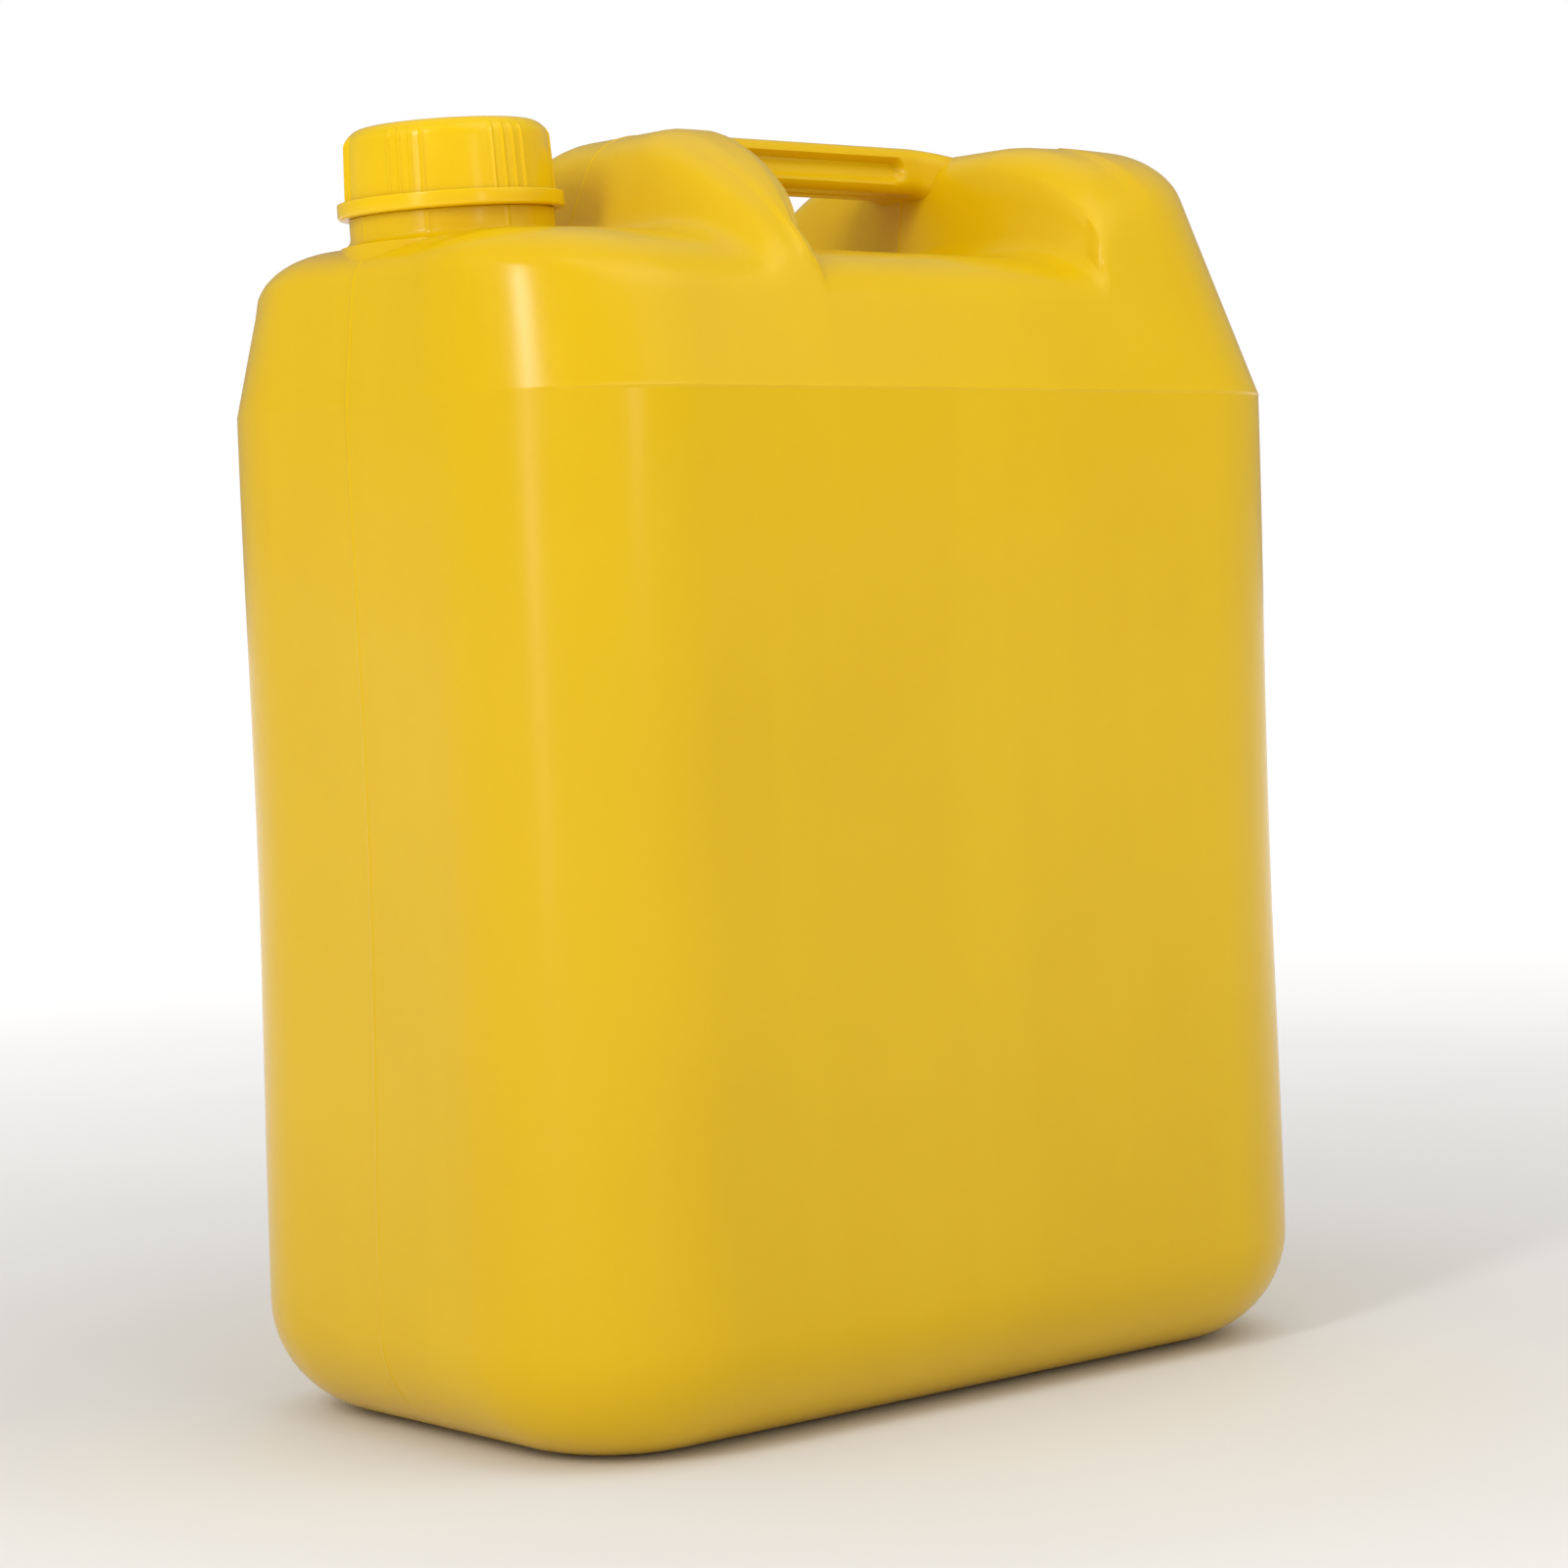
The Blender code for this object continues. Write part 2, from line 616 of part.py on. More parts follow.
def make_body(finish):
    body = new_object("body", Skin().mesh(), finish)
    smooth(body)
    neck = on_axis(new_object("neck_form", turned(neck_profile()), guide=True))
    neck_thread = on_axis(new_object("neck_thread_form", thread(
        NECK_RADIUS, NECK_THREAD_CREST, NECK_THREAD_Z, THREAD_TURNS, 0.0008),
        guide=True))
    handle = new_object("handle_form", handle_bar(), guide=True)
    hollow = new_object("hollow_form", Skin(draw_in=WALL, grid=1).mesh(), guide=True)
    bore = on_axis(new_object("bore_form", turned(bore_profile()), guide=True))
    pockets = [new_object(f"handle_pocket_form_{name}", handle_pocket(side), guide=True)
               for name, side in (("near", -1), ("far", 1))]
    for tool in (neck, neck_thread, handle):
        combine(body, tool, "UNION")
    for tool in (*pockets, hollow, bore):
        combine(body, tool, "DIFFERENCE")
    return body


def rib_angles():
    half = (RIBS_PER_GROUP - 1) / 2
    return [RIB_GROUP_ANGLE + 2 * math.pi * group / RIB_GROUPS + RIB_STEP * (rib - half)
            for group in range(RIB_GROUPS) for rib in range(RIBS_PER_GROUP)]


def cap_angles():
    """Places round the cap: three at each rib, and a few along the smooth stretches between."""
    angles = []
    smooth_steps = 5
    ribs = rib_angles()
    for k, angle in enumerate(ribs):
        angles += [(angle - RIB_HALF_WIDTH, 0.0), (angle, 1.0), (angle + RIB_HALF_WIDTH, 0.0)]
        following = ribs[(k + 1) % len(ribs)] + (2 * math.pi if k + 1 == len(ribs) else 0)
        start, end = angle + RIB_HALF_WIDTH, following - RIB_HALF_WIDTH
        if end - start > 2 * RIB_STEP:
            angles += [(start + (end - start) * s / smooth_steps, 0.0)
                       for s in range(1, smooth_steps)]
    return angles


def cap_shell():
    """The cap's outside: ribbed skirt, rounded edge and flat top; open underneath."""
    low, high = CAP_Z
    shoulder = CAP_RADIUS - CAP_DRAFT
    outline = [(CAP_BORE, low, 0.0), (CAP_RADIUS, low, 1.0), (shoulder, high - CAP_EDGE, 1.0)]
    for step in range(1, 5):
        angle = math.pi / 2 * step / 4
        outline.append((shoulder - CAP_EDGE * (1 - math.cos(angle)),
                        high - CAP_EDGE + CAP_EDGE * math.sin(angle), max(0.0, 1 - step / 2)))
    inner = [(CAP_BORE, high - CAP_ROOF)]
    angles = cap_angles()
    bm = bmesh.new()

    def loop(radius, z, ribbed):
        return [bm.verts.new(((radius + RIB_HEIGHT * rib * ribbed) * math.cos(a),
                              (radius + RIB_HEIGHT * rib * ribbed) * math.sin(a), z))
                for a, rib in angles]

    loops = [loop(*inner[0], 0.0)] + [loop(*point) for point in outline]
    count = len(angles)
    for low_loop, high_loop in zip(loops, loops[1:]):
        for k in range(count):
            n = (k + 1) % count
            bm.faces.new((low_loop[k], low_loop[n], high_loop[n], high_loop[k]))
    roof_inside = bm.verts.new((0, 0, high - CAP_ROOF))
    roof = bm.verts.new((0, 0, high))
    for k in range(count):
        n = (k + 1) % count
        bm.faces.new((roof_inside, loops[0][n], loops[0][k]))
        bm.faces.new((roof, loops[-1][k], loops[-1][n]))
    bmesh.ops.recalc_face_normals(bm, faces=bm.faces)
    return bm


def make_cap(finish):
    cap = on_axis(new_object("screw_cap", cap_shell(), finish))
    smooth(cap)
    cap_thread = on_axis(new_object("cap_thread_form", thread(
        CAP_BORE, CAP_THREAD_CREST, CAP_THREAD_Z, CAP_THREAD_TURNS, 0.0008), guide=True))
    combine(cap, cap_thread, "UNION")
    return cap


def make_liner(finish):
    low, high = LINER_Z
    edge = 0.0004
    profile = [(0, low), (LINER_RADIUS - edge, low), (LINER_RADIUS, low + edge),
               (LINER_RADIUS, high - edge), (LINER_RADIUS - edge, high), (0, high)]
    liner = on_axis(new_object("cap_liner", turned(profile), finish))
    smooth(liner)
    return liner


def make_tamper_ring(finish):
    """The break-off ring: its inner lip sits in the neck's groove, under the bead."""
    low, high = RING_Z
    edge = 0.0009
    outline = [(RING_LIP_BORE, RING_LIP_Z[0]), (RING_LIP_BORE + 0.0010, low), (RING_RADIUS - edge, low),
               (RING_RADIUS, low + edge), (RING_RADIUS, high - edge), (RING_RADIUS - edge, high),
               (RING_BORE, high), (RING_BORE, RING_LIP_Z[1] + 0.0004), (RING_LIP_BORE, RING_LIP_Z[1])]
    ring = on_axis(new_object("tamper_ring", turned_tube(outline), finish))
    smooth(ring)
    return ring


def main():
    for old in list(bpy.data.objects):
        bpy.data.objects.remove(old)
    body_plastic = material("body_plastic", srgb(224, 182, 34), 0.42)
    cap_plastic = material("cap_plastic", srgb(246, 203, 31), 0.25)
    liner_foam = material("liner_foam", srgb(236, 236, 230), 0.7)
    make_body(body_plastic)
    make_cap(cap_plastic)
    make_liner(liner_foam)
    make_tamper_ring(cap_plastic)


main()
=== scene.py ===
"""The looks of the jerry can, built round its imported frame: finer meshes, plastics, light, camera.

Metres, +Z up, in the frame's own axes: the neck is at -X and the mould's parting plane is Y = 0.
The can's surface follows the same curves as its CAD solid, at finer steps, and adds the mould's
marks that the solid leaves out.
"""

import math

import bmesh
import bpy
import numpy as np
from mathutils import Matrix, Vector


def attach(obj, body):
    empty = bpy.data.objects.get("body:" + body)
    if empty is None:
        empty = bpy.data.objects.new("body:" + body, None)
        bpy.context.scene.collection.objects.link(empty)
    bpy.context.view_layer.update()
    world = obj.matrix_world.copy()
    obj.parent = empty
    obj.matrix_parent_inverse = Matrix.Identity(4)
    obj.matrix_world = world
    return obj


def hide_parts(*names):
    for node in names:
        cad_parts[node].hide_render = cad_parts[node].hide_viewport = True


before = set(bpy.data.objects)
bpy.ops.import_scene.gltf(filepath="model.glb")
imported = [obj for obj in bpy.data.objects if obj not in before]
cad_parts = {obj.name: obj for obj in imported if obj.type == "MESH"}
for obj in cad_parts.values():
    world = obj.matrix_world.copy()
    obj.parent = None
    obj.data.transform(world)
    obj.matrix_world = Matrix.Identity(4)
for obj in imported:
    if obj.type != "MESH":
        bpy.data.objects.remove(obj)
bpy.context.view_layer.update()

# ---- the moulded body ----
HALF_LENGTH = 0.1604
HALF_WIDTH = 0.0977
BASE_FLARE = 0.0008          # the walls lean out this much from the shoulder to the base
RIDGE_Z = 0.310              # crease between the upright walls and the sloping shoulder
CORNER_RADIUS = 0.0545       # upright corners, in plan
BASE_RADIUS = 0.0357         # edge between the walls and the base
WALL = 0.0021
CORNER_SINK = 0.0008         # cooling draws the walls in at half height, corners least
PANEL_SINK = 0.0014
BASE_RECESS = 0.0020         # the base is pushed up inside a flat rim
RECESS_HALF = (0.102, 0.043)
RECESS_EDGE = 0.012

# ---- the top, seen from the side: deck, front tower, hand gap, rear tower ----
DECK_Z = 0.3590
GAP_FLOOR_Z = 0.3545
FRONT_TOP_Z = 0.3942
REAR_TOP_Z = 0.3926
TOP_OUTLINE = (              # x, z, rounding before and after the corner
    (-0.0780, DECK_Z, 0.008, 0.008),
    (-0.0630, FRONT_TOP_Z, 0.014, 0.018),
    (-0.0235, FRONT_TOP_Z, 0.012, 0.015),
    (-0.0215, GAP_FLOOR_Z, 0.008, 0.008),
    (0.0605, GAP_FLOOR_Z, 0.009, 0.009),
    (0.0640, REAR_TOP_Z, 0.012, 0.018),
)
TOP_CORNER_STEPS = 24
BOW_X = (-0.102, -0.0780, -0.0630, -0.0245, -0.0210, 0.0600, 0.066, 0.0895)
BOW = (0.0, 0.0065, 0.0045, -0.028, -0.028, 0.0065, 0.0065, 0.0)   # flanks bow along X at BOW_Y
BOW_Y = 0.080
BOW_END_Y = 0.091            # beyond this the bow runs out, on the flat of the slope
SIDE_LEAN = 0.25             # run per rise of the sloping shoulder, on each side
END_LEANS = (0.11, 0.27)     # the same at the front and at the rear
LOW_EDGE = (0.018, 0.035, 0.78)    # drop, reach and fullness of the rounding over deck and gap
HIGH_EDGES = ((0.045, 0.058, 0.28), (0.034, 0.046, 0.62), (0.026, 0.040, 0.72))
HIGH_EDGE_X = (0.030, 0.060, 0.1059)   # the same over the towers, at these places along X
END_EDGES = ((0.014, 0.022, 0.75), (0.015, 0.019, 0.82))   # the same over the front and rear
SLOPE_RISES = (0.030, 0.058)  # how high the slope runs before it rounds over, front and rear

# ---- grid of the body's surface ----
COLUMNS = (-0.1059, -0.095, -0.0855, -0.080, -0.0765, -0.0733, -0.0695, -0.066, -0.0612, -0.054,
           -0.045, -0.038, -0.0320, -0.0275, -0.0248, -0.0234, -0.0224, -0.0212, -0.0180, -0.004,
           0.025, 0.049, 0.0562, 0.0595, 0.0611, 0.0623, 0.0633, 0.0646, 0.0665, 0.0700,
           0.076, 0.085, 0.095, 0.1059)
SHIFT_X = (-0.1059, -0.080, -0.058, -0.038, -0.018, 0.0, 0.057, 0.085, 0.1059)
SHIFT = (0, 1, 1, -1, -1, 0, 1, 1, 0)    # columns that move along with a flank drawn in
FIXED_COLUMNS = 0.082        # columns nearer the middle than this don't move along X
ROWS = (-0.0432, -0.033, -0.021, -0.007, 0.007, 0.021, 0.033, 0.0432)
ARC_STEPS = (9, 3)           # steps in each half of an upright corner, outside and hollow
SHOULDER_INSETS = (0.0, 0.0040, 0.0075, 0.0095, 0.0115, 0.0140, 0.0170, 0.0205, 0.025, 0.031,
                   0.038, 0.045, 0.0516)
WALL_HEIGHTS = (0.0357, 0.060, 0.104, 0.173, 0.242, 0.285, 0.300)
BASE_STEPS = (14, 4)
GRID_STEPS = (0.0030, 0.0200)    # longest step along X and Y between the places above
LEVEL_STEPS = (0.0010, 0.0200)   # the same down the shoulder's inset
WALL_STEPS = (0.0100, 0.1000)    # the same up the walls

# ---- marks of the mould ----
SEAM_HEIGHT = 0.00028        # the parting seam, a raised line where Y = 0
SEAM_HALF_WIDTH = 0.00075
SEAM_ROWS = (-0.0024, -0.0015, -0.00105, -0.0007, -0.00035, 0.0, 0.00035, 0.0007, 0.00105, 0.0015,
             0.0024)
SEAM_FADE_Z = (0.004, 0.020)     # the seam runs out round the edge of the base
RIDGE_HEIGHT = 0.00018       # the crease between wall and shoulder stands up as a fine bead
RIDGE_HALF_WIDTH = 0.0007
RIDGE_OFFSETS = (-0.0032, -0.0018, -0.0011, -0.0007, -0.00035, 0.0, 0.00035, 0.0007, 0.0011,
                 0.0018, 0.0032)
RIDGE_FADE_X = (0.136, 0.150)    # it runs out round the corners to the front and rear

# ---- the handle between the towers ----
HANDLE_HALF_WIDTH = 0.0140
HANDLE_Z = (0.3791, 0.3940)
HANDLE_CORNER = 0.0045
HANDLE_X = (-0.034, 0.084)
HANDLE_CORNER_STEPS = 7
HANDLE_FLARE = 0.003         # growth of its section where it runs into a tower, over these places
HANDLE_FLARE_X = ((-0.030, -0.016), (0.058, 0.072))
POCKET_X = (-0.016, 0.0525)
POCKET_Z = (0.3823, 0.3900)
POCKET_DEPTH = 0.0040
POCKET_EDGE = (-0.0006, 0.0019)    # the pocket's floor eases in over this, inside its outline
POCKET_SHALLOW = 0.42        # share of its depth at its lower edge
POCKET_SIDE = (0.0100, 0.0130)     # it is cut from the section's sides, beyond this half width
GRIP_STEP = 0.0008           # spacing of section points up the grip's sides,
GRIP_STEP_ACROSS = 0.0024    # across its top and bottom,
GRIP_STEP_ALONG = 0.00104    # and of the sections
GRIP_DIP = 0.0024            # its rear end dips into the tower, over this stretch
GRIP_DIP_X = (0.056, 0.081)

# ---- neck, thread and closure: one axis, leaning forward, heights measured from the deck ----
AXIS_X = -0.1191
AXIS_TILT = math.radians(2.6)
BORE_RADIUS = 0.0245
COLLAR_RADIUS = 0.0308
COLLAR_TOP = 0.0078
FOOT_FLARE = 0.003
NECK_ROOT = -0.009
GROOVE_RADIUS = 0.0298
BEAD_RADIUS = 0.0313
BEAD_Z = (0.0102, 0.0122)
NECK_RADIUS = 0.0270
NECK_TOP = 0.0296
THREAD_PITCH = 0.0060
THREAD_STEPS = 40
THREAD_START = math.radians(2.0)
THREAD_TURNS = 1.9
NECK_THREAD_CREST = 0.0286
NECK_THREAD_Z = 0.0144
CAP_RADIUS = 0.0311
CAP_DRAFT = 0.0007
CAP_BORE = 0.0292
CAP_THREAD_CREST = 0.0275
CAP_THREAD_Z = NECK_THREAD_Z + THREAD_PITCH / 2
CAP_THREAD_TURNS = 1.4
CAP_Z = (0.0131, 0.0345)
CAP_ROOF = 0.0022
CAP_EDGE = 0.0055            # rounding between the cap's side and its top
RIB_GROUPS = 6
RIBS_PER_GROUP = 4
RIB_STEP = math.radians(6.8)
RIB_GROUP_ANGLE = math.radians(29.9)
RIB_HEIGHT = 0.0006
RIB_HALF_WIDTH = math.radians(1.5)
LINER_RADIUS = 0.0284
LINER_Z = (0.0299, 0.0320)
RING_Z = (0.0080, 0.0128)
RING_RADIUS = 0.0341
RING_BORE = 0.0317
RING_LIP_BORE = 0.0302
RING_LIP_Z = (0.0084, 0.0097)
SHARP_ANGLE = math.radians(32)    # edges that turn more than this are shaded as sharp
NECK_STEPS = 360
CAP_STEPS = 720
RING_STEPS = 180
FOOT_RISE = 0.0025           # height of the fillet's centre at the neck's foot
COLLAR_EDGE = 0.0005
BEAD_EDGE = 0.0004
MOUTH_EDGE = 0.0008          # rounding outside the neck's mouth,
MOUTH_FLARE = 0.0010         # and inside it
BORE_PAST = 0.004            # the bore's cut goes on this far past both ends of the neck
SKIRT_EDGE = (0.0005, 0.0006)      # width and height of the bevel inside the skirt's foot
SKIRT_CORNER = 0.0001
SKIRT_STEPS = 6
CAP_EDGE_STEPS = 12
SKIRT_DROP = 0.0002          # the skirt ends this much closer to the tamper ring
TOP_DISH = 0.0004            # the cap's top is dished this deep inside its rim
TOP_RIM = (0.0016, 0.0024)   # the rim is flat up to the first and ends at the second
RIB_FADE = (math.radians(5), math.radians(52))   # the ribs run out over this much of the edge
RING_EDGE = 0.0009
LINER_EDGE = 0.0004
LINER_PRESS = 0.00025        # depth of the ring that the neck's mouth presses into the disc
THREAD_SINK = 0.0008         # how deep a thread's root is sunk into its wall
THREAD_FOOT = 0.0013         # half the thread's width at its root and at its crest
THREAD_TIP = 0.0005
THREAD_RUNOUT = 1 / 6        # share of a turn over which a thread's ends run out
THREAD_LEAST = 0.05          # share of its height left at the very ends
LUG_ANGLES = [math.radians(-139 + 45 * k) for k in range(8)]
LUG_HEIGHT = 0.0004
LUG_HALF_WIDTH = math.radians(1.8)

# ---- colours ----

def srgb(red, green, blue):
    """An 8-bit sRGB colour as a linear RGBA value."""
    linear = [((c / 255 + 0.055) / 1.055) ** 2.4 for c in (red, green, blue)]
    return (*linear, 1.0)


CAN_TONES = (srgb(220, 179, 1), srgb(215, 174, 0), srgb(224, 185, 3))
CAP_TONES = (srgb(230, 189, 1), srgb(226, 184, 0))
FOAM_TONES = (srgb(240, 240, 234), srgb(222, 222, 214))
FLOOR_TONES = (srgb(230, 229, 227), srgb(226, 225, 223))

# ---- stage, light and camera ----
FLOOR_HALF = 40.0
FLOOR_PAINTED_GLOW = 0.46              # painted glow: away from the can the floor emits light of its own and brightens into the white of the room
FAR_REACH = (0.25, 1.6)
ROOM_LIGHT = 0.72            # strength of the white room as a light,
ROOM_SEEN = 1.0              # as a background,
ROOM_GLEAM = 0.3             # and as a reflection, where it is darker than the soft boxes
LIT_POINT = (0.0, 0.0, 0.2)
KEY_LIGHTS = (               # name, azimuth, elevation and spread in degrees, strength
    ("key_left", -175, 50, 50, 0.15),
    ("key_back", 60, 60, 50, 0.1),
)
SOFT_BOXES = (               # name, azimuth, elevation, distance, (width, height), power
    ("front_box", -90, 60, 0.9, (0.6, 0.6), 1.0),
    ("side_box", -70, 42, 0.9, (0.7, 0.7), 1.0),
    ("corner_box_low", -161, 7, 1.6, (0.20, 0.5), 1.2),
    ("corner_box_high", -161, 30, 1.6, (0.20, 0.6), 6.3),
    ("glint_box", -100, 10, 1.6, (0.12, 0.3), 0.7),
)
CAMERA_ANGLES = (-40.40, 2.62, 2.02)     # azimuth, pitch down and roll, degrees
CAMERA_PLACE = (1.2683, 0.00266, 0.18872)   # along its own back, right and up from the origin
CAMERA_LENS = 89.8


# ---- curves of the body ----

def conic(start, corner, end, count):
    """Points on a near-circular arc that leaves start and reaches end, both aimed at corner."""
    start, corner, end = (np.array(p, float) for p in (start, corner, end))
    arrive, leave = corner - start, end - corner
    turn = math.acos(np.clip(arrive @ leave / math.sqrt(arrive @ arrive * (leave @ leave)), -1, 1))
    weight = math.cos(turn / 2)
    t = np.linspace(0, 1, count)[:, None]
    blend = (1 - t) ** 2, 2 * weight * t * (1 - t), t ** 2
    return (blend[0] * start + blend[1] * corner + blend[2] * end) / sum(blend)


def top_line(draw_in):
    """The top's outline along X, drawn into the material: straights joined by rounded corners."""
    ends = (-HALF_LENGTH, DECK_Z), (HALF_LENGTH, REAR_TOP_Z)
    corners = [np.array(c[:2]) for c in TOP_OUTLINE]
    path = [ends[0], *corners, ends[1]]
    points = [np.array([ends[0]])]
    for i, (_, _, before, after) in enumerate(TOP_OUTLINE):
        corner = corners[i]
        back = np.array(path[i]) - corner
        ahead = np.array(path[i + 2]) - corner
        start = corner + back * before / math.hypot(*back)
        end = corner + ahead * after / math.hypot(*ahead)
        points.append(conic(start, corner, end, TOP_CORNER_STEPS))
    points.append(np.array([ends[1]]))
    line = np.vstack(points)
    along = np.gradient(line, axis=0)
    inward = np.column_stack([along[:, 1], -along[:, 0]])
    return line + inward * draw_in / np.hypot(along[:, 0], along[:, 1])[:, None]


def rounded_slope(inset, lean, top, edge):
    """Height at a plan distance inside the ridge: up the slope, then over a rounding to the top."""
    drop, reach, weight = edge
    corner = lean * (top - RIDGE_Z)
    start = corner - lean * drop
    end = corner + reach
    if inset <= start:
        return RIDGE_Z + inset / lean
    if inset >= end:
        return top
    first = start - inset
    second = 2 * weight * (corner - inset)
    third = end - inset
    root = math.sqrt(second * second - 4 * first * third)
    t = (2 * first - second + root) / (2 * (first - second + third))
    blend = (1 - t) ** 2, 2 * weight * t * (1 - t), t ** 2
    return (blend[0] * (top - drop) + (blend[1] + blend[2]) * top) / sum(blend)


def bow(x, y):
    """Shift along X that bends the towers' flanks as they near the can's sides."""
    share = min(1.0, (y / BOW_Y) ** 2)
    fade = np.interp(abs(y), (BOW_END_Y, HALF_WIDTH), (1, 0))
    return float(np.interp(x, BOW_X, BOW) * share * fade)


# ---- the body's surface, as a grid folded over a rounded box ----

def refined(values, step):
    """The values, with more put between them so that none are further apart than step."""
    result = [values[0]]
    for low, high in zip(values, values[1:]):
        count = max(1, math.ceil((high - low) / step - 1e-9))
        result += [low + (high - low) * k / count for k in range(1, count + 1)]
    return result


class Ring:
    """One level of the skin: how far it lies inside the wall line, and its height.

    Its side inset is made up of a rise up the slope and an edge share of the rounding; height is
    None on the shoulder, where it follows from the place.
    """

    def __init__(self, side, height=None):
        self.side = side
        self.height = height
        if height is None:
            self.rises = [min(side / SIDE_LEAN, rise) for rise in SLOPE_RISES]
            self.edges = [side - SIDE_LEAN * rise for rise in self.rises]
            self.ends = [lean * rise + edge
                         for lean, rise, edge in zip(END_LEANS, self.rises, self.edges)]
        else:
            self.rises = (0.0, 0.0)
            self.edges = self.ends = (side, side)


class Skin:
    """The can's surface without neck and handle; draw_in moves all of it into the material."""

    def __init__(self, draw_in=0.0, grid=0):
        self.grid = grid
        self.half_length = HALF_LENGTH - draw_in
        self.half_width = HALF_WIDTH - draw_in
        self.corner = CORNER_RADIUS - draw_in
        self.base_z = draw_in
        self.base_radius = BASE_RADIUS - draw_in
        self.tops = (DECK_Z - draw_in, REAR_TOP_Z - draw_in)
        self.low_top = GAP_FLOOR_Z - draw_in
        self.line = top_line(draw_in)
        arcs = [math.pi / 4 * step / ARC_STEPS[grid] for step in range(1, ARC_STEPS[grid] + 1)]
        before = [("before", a) for a in reversed(arcs)]
        after = [("after", a) for a in arcs]
        columns = [x + draw_in * float(np.interp(x, SHIFT_X, SHIFT))
                   for x in refined(COLUMNS, GRID_STEPS[grid])]
        rows = sorted({*ROWS, *SEAM_ROWS}) if grid == 0 else ROWS
        self.columns = before + [("straight", x) for x in columns] + after
        self.rows = before + [("straight", y) for y in refined(rows, GRID_STEPS[grid])] + after

    def rings(self):
        """Levels from the base's flat to the edge of the roof."""
        rings = []
        for step in range(BASE_STEPS[self.grid]):
            angle = math.pi / 2 * step / BASE_STEPS[self.grid]
            inset = self.base_radius * (1 - math.sin(angle)) - BASE_FLARE
            rings.append(Ring(inset, self.base_z + self.base_radius * (1 - math.cos(angle))))
        heights, insets = WALL_HEIGHTS, SHOULDER_INSETS
        if self.grid == 0:
            heights += tuple(RIDGE_Z + dz for dz in RIDGE_OFFSETS if dz < 0)
            insets = sorted({*insets, *(SIDE_LEAN * dz for dz in RIDGE_OFFSETS if dz > 0)})
        for z in refined(heights, WALL_STEPS[self.grid]):
            rings.append(Ring(-BASE_FLARE * (RIDGE_Z - z) / (RIDGE_Z - BASE_RADIUS), z))
        return rings + [Ring(inset) for inset in refined(insets, LEVEL_STEPS[self.grid])]

    def top_height(self, x):
        return float(np.interp(x, self.line[:, 0], self.line[:, 1]))

    def side_edge(self, top, x):
        """Drop, reach and fullness of the side's rounding under a top of this height."""
        share = min(max((top - self.low_top) / (self.tops[1] - self.low_top), 0.0), 1.0)
        high = [float(np.interp(x, HIGH_EDGE_X, values)) for values in zip(*HIGH_EDGES)]
        return [low + (edge - low) * share for low, edge in zip(LOW_EDGE, high)]

    def side_height(self, inset, top, x):
        return rounded_slope(inset, SIDE_LEAN, top, self.side_edge(top, x))

    def end_height(self, end, inset, x, y):
        """Height over the front or rear, under a top that already falls away to the sides."""
        top = self.side_height(self.half_width - abs(y), self.tops[end], x)
        return rounded_slope(inset, END_LEANS[end], top, END_EDGES[end])

    def half_straight(self, ring, end):
        """Half the length of a ring's front or rear between the corners' arcs."""
        return self.half_width - ring.side - (self.corner - ring.edges[end])

    def corner_height(self, ring, end, angle):
        """Height on an upright corner's arc; angle is 0 facing the side and 90 degrees the end."""
        limit = (-1, 1)[end] * self.half_length
        over_side = self.side_height(ring.side, self.tops[end], limit)
        over_end = self.end_height(end, ring.ends[end], limit, self.half_straight(ring, end))
        return over_side + (over_end - over_side) * math.sin(angle) ** 2

    def roof_height(self, x, y, station):
        height = self.side_height(self.half_width - abs(y), self.top_height(station), station)
        for end, sign in enumerate((-1, 1)):
            if sign * x > FIXED_COLUMNS:
                height = min(height, self.end_height(end, self.half_length - sign * x, x, y))
        return height

    def wall_point(self, x, y, z):
        """Draws the wall in at half height, most in the middle of each face."""
        level = math.sin(math.pi * min(max((z - BASE_RADIUS) / (RIDGE_Z - BASE_RADIUS), 0), 1)) ** 2
        along = math.cos(math.pi / 2 * min(1, abs(x) / HALF_LENGTH)) ** 2
        across = math.cos(math.pi / 2 * min(1, abs(y) / HALF_WIDTH)) ** 2
        pull_x = (CORNER_SINK + PANEL_SINK * across) * level / HALF_LENGTH
        pull_y = (CORNER_SINK + PANEL_SINK * along) * level / HALF_WIDTH
        return x * (1 - pull_x), y * (1 - pull_y), z

    def end_share(self, x):
        """How far a column follows the can's ends: 0 on the fixed columns, 1 on the last."""
        return min(max((abs(x) - FIXED_COLUMNS) / (COLUMNS[-1] - FIXED_COLUMNS), 0.0), 1.0)

    def station(self, ring, x):
        """A column's place on this ring: near the ends it makes room for the corners' arcs."""
        end = 0 if x < 0 else 1
        return x - math.copysign((ring.ends[end] - ring.edges[end]) * self.end_share(x), x)

    def long_side(self, ring):
        """Points along the ring's -Y side, with half of each corner."""
        points = []
        half_width = self.half_width - ring.side
        for kind, value in self.columns:
            if kind == "straight":
                place = self.station(ring, value)
                if ring.height is not None:
                    points.append(self.wall_point(place, -half_width, ring.height))
                    continue
                height = self.side_height(ring.side, self.top_height(place), place)
                points.append((place + bow(place, half_width), -half_width, height))
                continue
            end, sign = (0, -1) if kind == "before" else (1, 1)
            points.append(self.corner_point(ring, end, sign, value))
        return points

